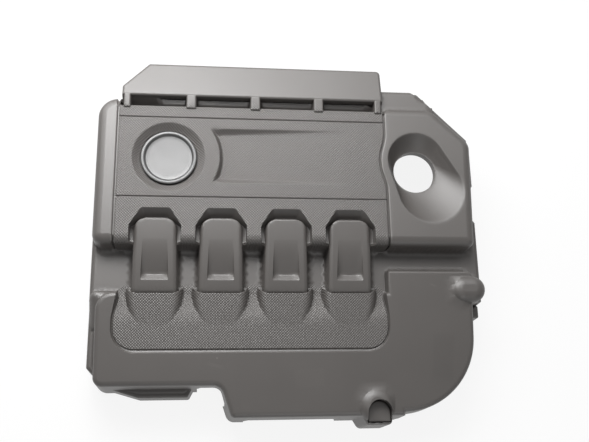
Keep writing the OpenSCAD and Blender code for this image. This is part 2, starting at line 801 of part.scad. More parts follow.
// Cuts that raise parts of the rim.
module rim_arches() {
    for (a = arches)
        hull() {
            translate([a[0], a[2], -1]) cube([a[1] - a[0], a[3] - a[2], a[4] - arch_soft]);
            translate([a[0] + arch_soft / 2, a[2], 0])
                cube([a[1] - a[0] - arch_soft, a[3] - a[2], a[4]]);
        }
}

module ribs() {
    main_low = main_z - wall - rib_d;
    intersection() {
        form(wall / 2);
        union() {
            for (y = [rear_groove_y, front_groove_y])
                translate([main_l, y - rib_t / 2, main_low]) cube([body_w, rib_t, main_z]);
            for (i = [0:2])
                translate([hoods[i] + hood_pitch / 2 - rib_t / 2, 0, main_low])
                    cube([rib_t, main_rear, main_z]);
            for (i = [0:2])
                translate([hoods[i] + hood_pitch / 2 - rib_t / 2, apron_step,
                    height(apron_plane, apron_step) - wall - rib_d])
                    cube([rib_t, front_rib_l, main_z]);
        }
    }
}

module holder(h) {
    slot = neck_r + fit;
    difference() {
        intersection() {
            form(wall / 2);
            translate([h[0], h[1], h[2]]) cylinder(h = far, r = holder_r, $fn = 16);
        }
        translate([h[0], h[1], h[2] + plate_t]) cylinder(h = far, r = holder_r - holder_wall, $fn = 16);
        translate([h[0], h[1], h[2] - 1]) cylinder(h = plate_t + 2, r = slot, $fn = 16);
        translate([h[0], h[1], h[2] - 1]) rotate(h[3]) translate([0, -slot + 0.6, 0])
            cube([far, 2 * slot - 1.2, plate_t + 2]);
        translate([h[0], h[1], h[2] + plate_t]) rotate(h[3])
            translate([0, -grommet_r - fit, 0])
            cube([holder_r + 1, 2 * (grommet_r + fit), grommet_head + 3]);
    }
}

module cover() {
    color(shell_grey) difference() {
        union() {
            difference() {
                form(0);
                form(wall);
                rim_arches();
            }
            ribs();
            for (h = holders) holder(h);
            translate([hole_x, hole_y, main_z - bowl_d - wall - neck_l])
                cylinder(h = neck_l + 2, r = hole_r + wall, $fn = 32);
        }
        translate([hole_x, hole_y, 0]) cylinder(h = far, r = hole_r, $fn = 32);
        for (sx = [-1, 1]) translate([badge_x + sx * pin_at, badge_y, main_z - 30])
            cylinder(h = 40, r = pin_d / 2 + fit, $fn = 16);
    }
}

// Blank round badge with a raised rim and two locating pins.
module badge() {
    seat = main_z - dish_d - seat_d + 0.05;
    color(chrome_grey) translate([badge_x, badge_y, seat]) {
        rotate_extrude($fn = 96) polygon([
            [0, 0], [badge_r, 0], [badge_r, badge_h - 1.4], [badge_r - 1.2, badge_h - 0.2],
            [badge_r - 2.6, badge_h], [badge_r - badge_rim + 2, badge_h - 0.3],
            [badge_r - badge_rim, badge_h - 1.6], [0, badge_h - 2.4]]);
        for (sx = [-1, 1]) translate([sx * pin_at, 0, -wall - 3])
            cylinder(h = wall + 3.5, r = pin_d / 2, $fn = 24);
    }
}

// Rubber socket that snaps over a ball stud. It sits in the slot of a holder.
module grommet(h) {
    low = -grommet_low;
    high = plate_t + grommet_head;
    color(rubber_black) translate([h[0], h[1], h[2]]) difference() {
        rotate_extrude($fn = 64) polygon([
            [0, low], [grommet_r - 1, low], [grommet_r, low + 1.5], [grommet_r, -fit],
            [neck_r, -fit], [neck_r, plate_t + fit], [grommet_r - 0.5, plate_t + fit],
            [grommet_r - 0.5, high - 1.5], [grommet_r - 2, high], [0, high]]);
        translate([0, 0, low - 1]) cylinder(h = ball_depth + 1, r = ball_d / 2, $fn = 48);
    }
}

cover();
badge();
grommet(holders[0]);  // grommet_rear_left
grommet(holders[1]);  // grommet_rear_right
grommet(holders[2]);  // grommet_right
grommet(holders[3]);  // grommet_front
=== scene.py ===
import math

import bmesh
import bpy
import numpy as np
from mathutils import Matrix, Vector
from mathutils.geometry import delaunay_2d_cdt


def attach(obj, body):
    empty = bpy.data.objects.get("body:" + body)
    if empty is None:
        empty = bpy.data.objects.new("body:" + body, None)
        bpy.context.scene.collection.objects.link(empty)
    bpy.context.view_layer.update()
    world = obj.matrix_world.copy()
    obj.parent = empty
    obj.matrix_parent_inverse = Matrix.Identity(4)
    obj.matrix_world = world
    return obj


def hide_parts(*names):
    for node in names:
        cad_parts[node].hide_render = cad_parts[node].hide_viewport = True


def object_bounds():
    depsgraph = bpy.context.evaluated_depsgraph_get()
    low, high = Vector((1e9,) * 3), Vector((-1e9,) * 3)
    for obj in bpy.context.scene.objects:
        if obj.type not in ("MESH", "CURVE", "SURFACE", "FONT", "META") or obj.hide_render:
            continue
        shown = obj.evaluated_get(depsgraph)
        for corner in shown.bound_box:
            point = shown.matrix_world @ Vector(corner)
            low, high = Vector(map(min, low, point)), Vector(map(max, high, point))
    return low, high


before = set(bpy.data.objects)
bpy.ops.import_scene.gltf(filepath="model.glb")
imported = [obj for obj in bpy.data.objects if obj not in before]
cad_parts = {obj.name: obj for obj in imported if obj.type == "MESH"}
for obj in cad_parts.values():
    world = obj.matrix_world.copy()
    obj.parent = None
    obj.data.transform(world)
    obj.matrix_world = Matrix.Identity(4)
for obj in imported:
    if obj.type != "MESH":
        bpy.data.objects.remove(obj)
cadLow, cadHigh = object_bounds()

# All shapes are worked out in millimetres, in the frame's own axes, and become metres in addMesh.
mm = 1000.0
leftX, frontY = cadLow.x * mm, cadLow.y * mm
rightX, rearY = cadHigh.x * mm, cadHigh.y * mm
below = -50.0  # height that stands for no surface

moulding = {
    "wall": 3.0,
    "draft": 4.0,  # degrees
    "chord": 0.04,  # how far an arc's chord may lie off the arc
    "step": 3.0,  # spacing of points along straight edges
    "fillStep": 7.0,  # spacing of points on flat surfaces
    "rimEdge": 0.3,  # height of the straight edge at the rim
    "merge": 0.16,  # points nearer than this become one
}


def stage(text):
    print("scene:", text, flush=True)


# Outlines and moulded forms

def unit(v):
    return v / np.maximum(np.linalg.norm(v, axis=-1, keepdims=True), 1e-9)


def makeOutline(corners):
    # A closed chain of straight runs and arcs through [x, y, radius] corners, walked anticlockwise.
    c = np.array(corners, float)
    p, r = c[:, :2], c[:, 2]
    e1, e2 = unit(p - np.roll(p, 1, 0)), unit(np.roll(p, -1, 0) - p)
    turn = np.arctan2(e1[:, 0] * e2[:, 1] - e1[:, 1] * e2[:, 0], (e1 * e2).sum(1))
    cut = r * np.tan(np.abs(turn) / 2)
    side = np.sign(turn)
    n1 = np.stack([-e1[:, 1], e1[:, 0]], 1)
    n2 = np.stack([-e2[:, 1], e2[:, 0]], 1)
    start, end = p - e1 * cut[:, None], p + e2 * cut[:, None]
    centre = start + n1 * (r * side)[:, None]
    return {"p": p, "r": r, "n1": n1, "n2": n2, "turn": turn, "side": side, "start": start, "end": end,
            "centre": centre, "low": p.min(0), "high": p.max(0)}


def inset(o, x, y):
    # Distance inside the outline, negative outside: the nearest straight run or arc decides.
    best = np.full(x.shape, 1e9)
    found = np.zeros(x.shape)
    count = len(o["r"])
    for i in range(count):
        a, b = o["end"][i], o["start"][(i + 1) % count]
        d = b - a
        length = max(math.hypot(*d), 1e-9)
        px, py = x - a[0], y - a[1]
        t = np.clip((px * d[0] + py * d[1]) / length**2, 0, 1)
        away = np.hypot(px - t * d[0], py - t * d[1])
        sign = np.where(d[0] * py - d[1] * px >= 0, 1.0, -1.0)
        near = away < best
        best, found = np.where(near, away, best), np.where(near, away * sign, found)
        cx, cy = x - o["centre"][i, 0], y - o["centre"][i, 1]
        s, u, v = o["side"][i], o["start"][i] - o["centre"][i], o["end"][i] - o["centre"][i]
        wedge = (s * (u[0] * cy - u[1] * cx) >= 0) & (s * (cx * v[1] - cy * v[0]) >= 0)
        gap = o["r"][i] - np.hypot(cx, cy)
        near = wedge & (np.abs(gap) < best)
        best, found = np.where(near, np.abs(gap), best), np.where(near, s * gap, found)
    return found


def ring(o, d, step):
    # The outline moved inwards by d. Rings of one outline have matching points.
    parts = []
    count = len(o["r"])
    for i in range(count):
        r, s, turn = o["r"][i], o["side"][i], o["turn"][i]
        k = max(1, math.ceil(abs(turn) / (2 * math.acos(1 - min(moulding["chord"] / max(r, 1.0), 0.5)))))
        now = max(r - s * d, 0.05)
        n1, n2 = o["n1"][i], o["n2"][i]
        centre = o["p"][i] + (n1 + n2) / (1 + n1 @ n2) * (d + s * now)
        a = turn * np.arange(k + 1) / k
        spoke = np.stack([n1[0] * np.cos(a) - n1[1] * np.sin(a), n1[0] * np.sin(a) + n1[1] * np.cos(a)], 1)
        arc = centre - s * now * spoke
        run = max(1, round(math.dist(o["end"][i], o["start"][(i + 1) % count]) / step))
        parts.append((arc, run))
    points = []
    for i in range(count):
        arc, run = parts[i]
        t = (np.arange(1, run) / run)[:, None]
        points += [arc, arc[-1] * (1 - t) + parts[(i + 1) % count][0][0] * t]
    return np.concatenate(points)


def makeForm(corners, plane, roll, base=0.0, step=None):
    # A drafted block: the wall leans in from its foot outline, then rolls over into the top plane.
    o = makeOutline(corners)
    middle = (o["low"][1] + o["high"][1]) / 2
    lean = math.tan(math.radians(moulding["draft"])) * (plane[0] + plane[1] * middle - roll - base)
    return {"outline": o, "plane": plane, "roll": roll, "base": base, "lean": lean,
            "step": step or moulding["step"]}


def formHeight(form, x, y, cut=None):
    # Wall, rolled edge or top plane, by the distance inside the outline. A cut sinks all of them.
    z = np.full(x.shape, below)
    o = form["outline"]
    i = np.flatnonzero((x > o["low"][0] - 1) & (x < o["high"][0] + 1)
                       & (y > o["low"][1] - 1) & (y < o["high"][1] + 1))
    if len(i):
        groove = 0 if cut is None else cut[i]
        d = inset(o, x[i], y[i]) - groove
        top = (form["top"](y[i]) if "top" in form else form["plane"][0] + form["plane"][1] * y[i]) - groove
        roll = form["rollAt"](y[i]) if "rollAt" in form else form["roll"]
        wall = form["base"] + (top - roll - form["base"]) * d / form["lean"]
        u = np.clip(1 - (d - form["lean"]) / roll, 0, 1)
        rolled = top - roll * (1 - np.sqrt(1 - u * u))
        z[i] = np.where(d < -0.002, below, np.where(d < form["lean"], wall, rolled))
    return z


def formRows(form):
    # Rings from the foot to the flat top, one row per level of the wall and the rolled edge.
    turns = np.radians([0, 12, 28, 46, 66, 90] if form["roll"] > 5 else [0, 22, 50, 90])
    levels = [0.0, *(form["lean"] + form["roll"] * (1 - np.cos(turns))), form["lean"] + form["roll"] + 1.2]
    return np.stack([ring(form["outline"], d, form["step"]) for d in levels])


def softMax(a, b, k):
    # The larger of two heights, with the corner between them rounded over a height of k.
    h = np.clip(0.5 + 0.5 * (a - b) / k, 0, 1)
    return b + (a - b) * h + k * h * (1 - h)


def softMin(a, b, k):
    return -softMax(-a, -b, k)


# Sizes of the cover, region by region. Places are measured from the frame's box.

mainPanel = {
    "height": 104.0,
    "front": -19.0,
    "rear": 203.0,
    "leftGap": 1.5,
    "rightGap": 9.5,
    "lean": 5.0,  # how far the right side leans in towards the front
    "rearLeftR": 34.0,
    "frontLeftR": 20.0,
    "chamfer": (58.0, 60.0),
    "rearStep": 5.0,
    "roll": 12.0,
    "edgeY": 184.2,  # crisp rear edge along the slot
}
shoulder = {"drop": 6.0, "rear": 227.0, "cut": 76.0, "fall": 6.0, "fallWidth": 14.0}
flap = {
    "front": 197.0,
    "height": 108.0,
    "fall": 10.0,  # degrees towards the rear
    "foot": 58.0,
    "cut": (37.0, 40.0),
    "slotFall": 1.9,  # slope of the face inside the slot
}
fingers = {"pitch": 89.7, "middle": -50.5, "width": 18.6, "endWidth": 14.5, "tip": 179.0, "gap": 2.2}
deck = {"height": 70.0, "rear": 42.0, "rightGap": 2.0}
lowerPanel = {
    "height": 84.5,  # at its rear edge
    "fall": 6.0,  # degrees towards the front
    "rear": -69.0,
    "leftGap": 9.5,
    "stepY": -201.0,
    "frontY": -242.5,
    "stepX": -91.5,
}
bulge = {"left": 127.0, "rear": -40.0, "gap": 20.0, "front": -238.0, "bigR": 104.0}
boss = {"x": 109.5, "width": 62.0, "domeR": 27.0, "domeGap": 30.0}
bossPocket = {"x": 116.1, "r": 16.2, "gap": 20.5, "lip": 7.4, "floor": 64.5, "round": 2.2, "slit": 0.6, "slitDepth": 4.0}
rightDome = {"r": 24.0, "y": -69.5, "length": 60.0, "rise": 8.0, "roll": 13.0}
rim = {"ledge": 60.0, "tab": 32.0, "sideTab": 42.0}

mainL, mainR = leftX + mainPanel["leftGap"], rightX - mainPanel["rightGap"]
seamLeft, seamRight = mainL + 34.5, rightX - 142.0
panelFall = math.tan(math.radians(lowerPanel["fall"]))
flapFall = math.tan(math.radians(flap["fall"]))
mainPlane = (mainPanel["height"], 0.0)
flapPlane = (flap["height"] + flapFall * (flap["front"] + 4), -flapFall)
lowerPlane = (lowerPanel["height"] - panelFall * (lowerPanel["rear"] - 8), panelFall)
apronL = leftX + lowerPanel["leftGap"]


def planeAt(plane, y):
    return plane[0] + plane[1] * y


def coverForms():
    m, lp, cx, cy = mainPanel, lowerPanel, *mainPanel["chamfer"]
    rear, front, stepY, stepX = lp["rear"], lp["frontY"], lp["stepY"], lp["stepX"]
    forms = {}
    forms["main"] = makeForm([
        [mainL, m["front"], m["frontLeftR"]], [mainR - m["lean"], m["front"], 16],
        [mainR, m["rear"] - cy, 26], [mainR - cx, m["rear"] - m["rearStep"], 30],
        [seamRight + 5, m["rear"] - m["rearStep"], 1], [seamRight + 1, m["rear"], 1],
        [mainL, m["rear"], m["rearLeftR"]]], mainPlane, m["roll"], step=2.5)
    s = shoulder
    forms["shoulder"] = makeForm([
        [seamRight - 20, m["front"] + 90, 1], [mainR, m["front"] + 90, 1], [mainR, s["rear"] - s["cut"], 12],
        [mainR - s["cut"], s["rear"], 14], [seamRight - 20, s["rear"], 1]],
        (m["height"] - s["drop"], 0.0), 7)
    flapL, flapR = seamLeft + 1, seamRight + 1.5
    forms["flap"] = makeForm([
        [flapL, flap["front"] - 2, 1], [flapR, flap["front"] - 2, 1], [flapR, rearY, 9],
        [flapL + flap["cut"][0], rearY, 7], [flapL, rearY - flap["cut"][1], 7]],
        flapPlane, 4, base=flap["foot"])
    deckR = rightX - deck["rightGap"]
    forms["deck"] = makeForm([
        [leftX, rear - 20, 1], [deckR, rear - 20, 1], [deckR, deck["rear"] - 10, 6], [deckR - 8, deck["rear"], 6],
        [leftX + 5, deck["rear"], 6], [leftX, deck["rear"] - 10, 6]], (deck["height"], 0.0), 5)
    forms["apron"] = makeForm([
        [apronL, stepY, 17], [stepX - 7, stepY, 10], [stepX + 7, front, 12],
        [bulge["left"] + 30, front, 1], [bulge["left"] + 30, rear, 1], [apronL, rear, 28]], lowerPlane, 6)
    b = bulge
    forms["bulge"] = makeForm([
        [b["left"], b["front"], 1], [rightX - b["gap"], b["front"], b["bigR"]],
        [rightX - b["gap"] + 2, b["rear"], 14], [b["left"], b["rear"], 5]],
        (lowerPlane[0] + 0.02, panelFall), 6)
    forms["bulge"]["rollAt"] = lambda y: 2.5 + 3.5 * np.clip((-60 - y) / 30, 0, 1)
    x, half = boss["x"], boss["width"] / 2
    forms["boss"] = makeForm([
        [x - half + 5, front + 12, 1], [x - half + 19, frontY, 8], [x + half - 4, frontY, 10],
        [x + half, front + 12, 1]], lowerPlane, 6)
    forms["hump"] = makeForm([
        [leftX + 0.5, rear - 62, 4], [apronL + 40, rear - 62, 4], [apronL + 40, rear + 3, 3],
        [leftX + 0.5, rear + 3, 15]], (105.0, 0.33), 14)
    forms["ledge"] = makeForm([
        [leftX, stepY + 28, 7], [leftX + 11, stepY + 17, 7], [apronL + 18, stepY + 17, 1],
        [apronL + 18, rear - 14, 1], [leftX, rear - 14, 1]], (rim["ledge"], 0.0), 4)
    forms["tab"] = makeForm([
        [apronL + 19.5, stepY + 2, 2], [apronL + 61, stepY - 10.5, 4], [stepX - 47, stepY - 10.5, 4],
        [stepX - 36, stepY + 10, 2], [apronL + 19.5, stepY + 10, 1]], (rim["tab"], 0.0), 3)
    y = rightDome["y"]
    forms["sideTab"] = makeForm([
        [rightX - 40, y - 37, 1], [rightX, y - 37, 5], [rightX, y - 14, 5], [rightX - 40, y - 14, 1]],
        (rim["sideTab"], 0.0), 3)
    r, low = rightDome["r"], rightX - rightDome["length"]
    forms["rightDome"] = makeForm([
        [low, y - r, r - 0.01], [rightX, y - r, r - 0.01], [rightX, y + r, r - 0.01], [low, y + r, r - 0.01]],
        (planeAt(lowerPlane, y) + rightDome["rise"], 0.0), rightDome["roll"])
    r, y = boss["domeR"], frontY + boss["domeGap"]
    forms["bossDome"] = makeForm([[boss["x"] + 3 + i * r, y + j * r, r - 0.01] for i, j in
                                  ((-1, -1), (1, -1), (1, 1), (-1, 1))],
                                 (planeAt(lowerPlane, y) + rightDome["rise"], 0.0), rightDome["roll"], base=20)
    w, e = fingers["width"] / 2, fingers["endWidth"]
    spans = [(flapL + 3, flapL + 3 + e), *[(fingers["middle"] + i * fingers["pitch"] - w,
                                           fingers["middle"] + i * fingers["pitch"] + w) for i in (-1, 0, 1)],
             (flapR - 3 - e, flapR - 3)]
    for i, (a, b) in enumerate(spans):
        forms[f"finger{i}"] = makeForm([
            [a, fingers["tip"] - 1, 3], [b, fingers["tip"] - 1, 3], [b, flap["front"] + 6, 1],
            [a, flap["front"] + 6, 1]], (mainPanel["height"] + 2.2 - 0.09 * fingers["tip"], 0.09), 2.5,
            base=70, step=1.5)
    return forms


# The panel's own features

badgeSeat = {"x": seamLeft + 70, "y": 109.5, "r": 38.4, "gap": 0.8, "dishR": 50.0, "dish": 7.0, "seat": 2.0,
             "soft": 0.9}
recess = {"front": 73.0, "rear": 152.0, "right": seamRight - 57, "depth": 8.0, "land": 19.0, "side": 9.0,
          "soft": 1.6}
bowl = {"x": rightX - 96.5, "y": 100.0, "holeR": 29.5, "wider": 0.9, "lip": 1.5, "topR": 41.5, "shift": 11.0, "reach": (18.0, 32.0),
        "lowR": 47.5, "depth": 20.0, "soft": 1.1, "neck": 8.0, "wallBend": 1.25}
seams = {"half": 0.75, "depth": 2.0, "lip": 0.55, "lipWidth": 2.4, "crossHalf": 0.45, "crossDepth": 1.1,
         "crossY": (167.0, 52.0), "bendGap": 11.0, "bend": 9.0}
hoods = {"pitch": 88.0, "shift": 0.2, "halfWidth": 30.2, "rearHalf": 28.2, "rear": 25.0, "front": -73.0, "drop": 5.0,
         "fall": 15.0, "roll": 5.0, "rearRoll": 1.4, "flare": 2.3, "cornerR": 18.0, "foot": 66.0, "hidden": 8.0,
         "endFrom": -69.0, "endDrop": 1.8}
pocket = {"half": 34.4, "rearHalf": 19.2, "rear": 36.5, "depth": 14.0, "side": 0.6, "slope": 10.0, "shoulder": 24.0,
          "soft": 0.8, "cornerR": 4.0}
notch = {"half": 16.2, "wider": 2.1, "depth": 7.0, "taper": 1.5, "curve": 1.7, "start": 0.3, "deep": 0.763,
         "stop": 0.853}
collar = {"half": 38.0, "tipHalf": 24.0, "narrowing": 2.4, "rear": -76.0, "front": -126.0, "rise": 15.9, "roll": 12.0,
          "flank": 16.0, "ear": 9.5, "earFrom": 24.0, "lip": 0.8, "behind": 1.0}
field = {"leftGap": 25.8, "right": 133.5, "front": -154.0, "cornerR": 32.0, "innerGap": 2.1, "innerFront": 4.2,
         "innerR": 28.0, "outerWall": 1.5, "innerWall": 1.2, "crest": -105.0, "sink": 1.4, "grooveDepth": 1.9,
         "foot": -77.5}

panelMiddle = (seamLeft + seamRight) / 2
hoodXs = [panelMiddle + hoods["shift"] + (i - 1.5) * hoods["pitch"] for i in range(4)]
flapL, flapR = seamLeft + 1, seamRight + 1.5
bowlTop = (bowl["x"] - 1, bowl["y"] + bowl["shift"])
bowlLow = (bowl["x"] + bowl["reach"][0], bowl["y"] - bowl["reach"][1])


def fieldOutline(gap, frontGap, r):
    # The groove's outer edge, or with a gap its inner one.
    low, rear = lowerPanel["rear"], field["front"] + frontGap
    left, right = apronL + field["leftGap"] + gap, field["right"] - gap
    return makeOutline([
        [left, rear, r], [right, rear, r],
        [right, low - 38, 40], [right - 4, low - 8, 20], [right - 5, low + 60, 1],
        [left + 7, low + 60, 1], [left + 6, low - 8, 20], [left, low - 40, 40]])


def fieldLine(y):
    # Side view of the grained field: up from the deck to the crest, then parallel to the lower panel.
    c, at = field["crest"], lambda v: planeAt(lowerPlane, v)
    spots = np.array([[-400, at(-400) - field["sink"]], [c - 10, at(c - 10) - field["sink"]], [c - 2, at(c - 2) - 2],
                      [c + 5, at(c) - 3.4], [field["foot"], deck["height"]], [400, deck["height"]]])
    return np.interp(y, spots[:, 0], spots[:, 1])


def sunkField(x, y, panel):
    # The groove's sloping outer wall, its floor and its inner wall, then the field itself.
    f = field
    outer, inner = inset(f["outline"], x, y), inset(f["inner"], x, y)
    level = fieldLine(y)
    floor = level - f["grooveDepth"]
    z = floor + f["grooveDepth"] * np.clip(inner / f["innerWall"], 0, 1)
    wall = panel - (panel - floor) * outer / f["outerWall"]
    return np.where(outer > 0, np.minimum(panel, np.maximum(z, wall)), panel)


def seamSide(x, y):
    # Positive on the centre panel: its right side runs straight and bends round the bowl.
    bend = np.hypot(x - bowlTop[0], y - bowlTop[1] + 3) - (bowl["topR"] + seams["bendGap"])
    return softMin(seamRight - x, bend, seams["bend"])


def seamCut(x, y):
    # Depth of the joint lines: a narrow slot between two softly rounded lips.
    inside = np.minimum(x - seamLeft, seamSide(x, y))
    s = np.abs(inside)
    cut = seams["depth"] * np.clip((seams["half"] + 0.35 - s) / 0.35, 0, 1)
    cut += seams["lip"] * np.clip(1 - (s - seams["half"]) / seams["lipWidth"], 0, 1) ** 2
    for crossY in seams["crossY"]:
        c = np.abs(y - crossY)
        line = seams["crossDepth"] * np.clip((seams["crossHalf"] + 0.3 - c) / 0.3, 0, 1)
        line += 0.3 * np.clip(1 - (c - seams["crossHalf"]) / 1.2, 0, 1) ** 2
        cut = np.maximum(cut, np.where(inside > 0, line, 0))
    return cut


def pocketOutline(cx, top):
    # Rim of a hood's pocket, or the edge of its floor. It stays open to the front.
    p = pocket
    half = p["half"] - (0 if top else p["side"])
    rear = p["rear"] - (0 if top else p["slope"])
    rearHalf = p["rearHalf"] - (0 if top else p["slope"] * 0.45)
    knee = p["rear"] - p["shoulder"] - (0 if top else p["side"] * 0.5)
    r = p["cornerR"]
    return makeOutline([[cx - half, -60, 1], [cx + half, -60, 1], [cx + half, knee, r], [cx + rearHalf, rear, r],
                        [cx - rearHalf, rear, r], [cx - half, knee, r]])


def pocketFloor(cx, x, y):
    # A flat floor and walls that slope up to the panel: the share of the way between both outlines.
    floor = mainPanel["height"] - pocket["depth"]
    away, past = -inset(pocketOutline(cx, False), x, y), -inset(pocketOutline(cx, True), x, y)
    f = away / np.maximum(away - past, 0.4)
    near = (np.abs(x - cx) < pocket["half"] + 3) & (y < pocket["rear"] + 3)
    return np.where(near, floor + pocket["depth"] * np.clip(f, 0, 3), 1e3)


def bowlLevel(x, y):
    # 0 at the hole's lip and 1 at the bowl's upper edge: the blend of both outlines that reaches the point.
    level = np.full(x.shape, -1.0)
    r0 = bowl["holeR"] + bowl["lip"]
    for a in np.arange(120) * math.tau / 120:
        nx, ny = math.cos(a), math.sin(a)
        top = max((bowlTop[0] - bowl["x"]) * nx + (bowlTop[1] - bowl["y"]) * ny + bowl["topR"],
                  (bowlLow[0] - bowl["x"]) * nx + (bowlLow[1] - bowl["y"]) * ny + bowl["lowR"])
        level = np.maximum(level, ((x - bowl["x"]) * nx + (y - bowl["y"]) * ny - r0) / (top - r0))
    return level


def bowlHeight(x, y):
    t = np.clip(bowlLevel(x, y), 0, 1.4)
    return mainPanel["height"] - bowl["depth"] * (1 - t ** bowl["wallBend"])


def dishHeight(x, y):
    # Flat seat, a small step and a conical dish.
    b = badgeSeat
    d = np.hypot(x - b["x"], y - b["y"])
    edge = b["r"] + b["gap"]
    floor = mainPanel["height"] - b["dish"]
    cone = floor + b["dish"] * (d - edge - 1.5) / (b["dishR"] - edge - 1.5)
    return np.where(d < edge, floor - b["seat"], np.minimum(np.maximum(cone, floor), floor - b["seat"]
                    + b["seat"] * (d - edge) / 0.2 + np.where(d > edge + 0.2, 99, 0)))


def recessHeight(x, y):
    # Sloping sides, a floor that rises to the right, and an end that follows the badge's land.
    r, top = recess, mainPanel["height"]
    left = badgeSeat["x"] + 30
    floor = top - r["depth"] * (r["right"] - x) / (r["right"] - left)
    sides = top - r["depth"] / r["side"] * np.minimum(y - r["front"], r["rear"] - y)
    land = badgeSeat["dishR"] + r["land"]
    end = top + (land + 1 - np.hypot(x - badgeSeat["x"], y - badgeSeat["y"])) * 1.78
    return softMax(softMax(floor, sides, r["soft"]), end, r["soft"] * 0.7)


def slotHeight(x, y):
    # The panel's crisp rear edge, then the face under the flap that slopes up to the rear.
    d = mainPanel["edgeY"] - y
    u = np.clip(1 - d / 1.6, 0, 1)
    edge = mainPanel["height"] - 1.6 * (1 - np.sqrt(1 - u * u)) + np.where(d < 0, 14 * d, 0)
    return np.maximum(edge, np.minimum(slotFace(y), flap["height"] - 2))


def hoodTop(y):
    h = hoods
    t = (h["rear"] - y) / (h["rear"] - h["front"])
    end = np.clip((h["endFrom"] - y) / (h["endFrom"] - collar["rear"]), 0, 1.5)
    return mainPanel["height"] - h["drop"] - h["fall"] * (0.45 * t + 0.55 * t * t) - h["endDrop"] * end * end


def hoodForm(cx):
    # Straight sides that widen to the front, and a rear edge that is crisper than the long ones.
    h = hoods
    w, rear = h["halfWidth"] + h["flare"], h["rearHalf"] + h["flare"]
    form = makeForm([[cx - w, h["front"] - h["hidden"], 1], [cx + w, h["front"] - h["hidden"], 1],
                     [cx + rear, h["rear"] + 0.8, h["cornerR"]], [cx - rear, h["rear"] + 0.8, h["cornerR"]]],
                    (0.0, 0.0), h["roll"], base=h["foot"], step=2.5)
    form["lean"], form["top"] = h["flare"], hoodTop
    form["rollAt"] = lambda y: h["rearRoll"] + (h["roll"] - h["rearRoll"]) * np.clip((h["rear"] - y) / 16, 0, 1) ** 1.5
    return form


def notchPlaces():
    # Where along a hood its notch starts, is deepest and stops.
    return [hoods["rear"] - notch[name] * (hoods["rear"] - hoods["front"]) for name in ("start", "deep", "stop")]


def notchLines(y):
    # Height of the notch's floor, and how far out its side walls meet that floor and the hood's top.
    n = notch
    y0, y1, y2 = notchPlaces()
    z1, z2 = hoodTop(y1) - n["depth"], hoodTop(y2)
    sunk = hoodTop(y) - n["depth"] * np.clip((y0 - y) / (y0 - y1), 0, 1) ** n["curve"]
    floor = np.where(y > y1, sunk, z1 + (z2 - z1) * (y1 - y) / (y1 - y2))
    out = n["half"] + n["wider"] * np.clip((y0 - y) / (y0 - y2), 0, 1)
    return floor, out - n["taper"], out


def notchFloor(cx, x, y):
    floor, inner, out = notchLines(y)
    ax = np.abs(x - cx)
    wall = floor + (hoodTop(y) - floor) * (ax - inner) / np.maximum(out - inner, 0.05)
    y0, y1, y2 = notchPlaces()
    return np.where((ax < out) & (y < y0) & (y > y2), np.maximum(floor, wall), 1e3)


def hoodHeight(form, cx, x, y):
    return np.minimum(formHeight(form, x, y), notchFloor(cx, x, y))


def collarShape(v):
    # Half width of a collar at a share v of its length.
    c = collar
    return c["half"] + (c["tipHalf"] - c["half"]) * np.clip(v, 0, 1) ** c["narrowing"]


def collarHeight(cx, x, y):
    # A tongue with rolled flanks: its rear lip wraps round the hood and its ears reach rearwards.
    c = collar
    ax = np.abs(x - cx)
    ear = np.clip((ax - c["earFrom"]) / (c["half"] - c["earFrom"]), 0, 1.2)
    lip = c["rear"] + c["ear"] * ear**2
    v = np.clip((c["rear"] - y) / (c["rear"] - c["front"]), 0, 1)
    half = collarShape(v)
    low = planeAt(lowerPlane, c["front"]) - 2
    top = deck["height"] + c["rise"] + (low - deck["height"] - c["rise"]) * v
    u = np.clip(1 - (half - ax) / c["roll"], 0, 1)
    z = top - c["flank"] * (1 - np.sqrt(1 - u**2)) - np.where(ax > half, 12 * (ax - half), 0)
    edge = np.clip(1 - (lip - y) / c["lip"], 0, 1)
    z -= c["lip"] * (1 - np.sqrt(1 - edge**2))
    behind = y - lip
    z = np.where(behind > 0, z - 15 * behind / c["behind"], z)
    return np.where((ax > c["half"] + 2) | (y > c["rear"] + c["ear"] + 2) | (y < c["front"]), below, z)


def pocketPlug(x, y):
    # D-shaped pocket in the boss: a floor with a rounded edge behind a thin slit, and a steep wall.
    b = bossPocket
    d = inset(b["outline"], x, y)
    u = np.clip(1 - (d - b["slit"]) / b["round"], 0, 1)
    floor = b["floor"] - b["round"] * (1 - np.sqrt(1 - u * u)) - np.where(d < b["slit"], b["slitDepth"], 0)
    return np.where(d > -0.3, floor + 60 * np.clip(-d / 0.3, 0, 1), 1e3)


def changeIn(z, x, y, box, rule):
    # Applies a rule to the heights of the points inside a box (x from, x to, y from, y to).
    i = np.flatnonzero((x > box[0]) & (x < box[1]) & (y > box[2]) & (y < box[3]))
    if len(i):
        z[i] = rule(z[i], x[i], y[i])


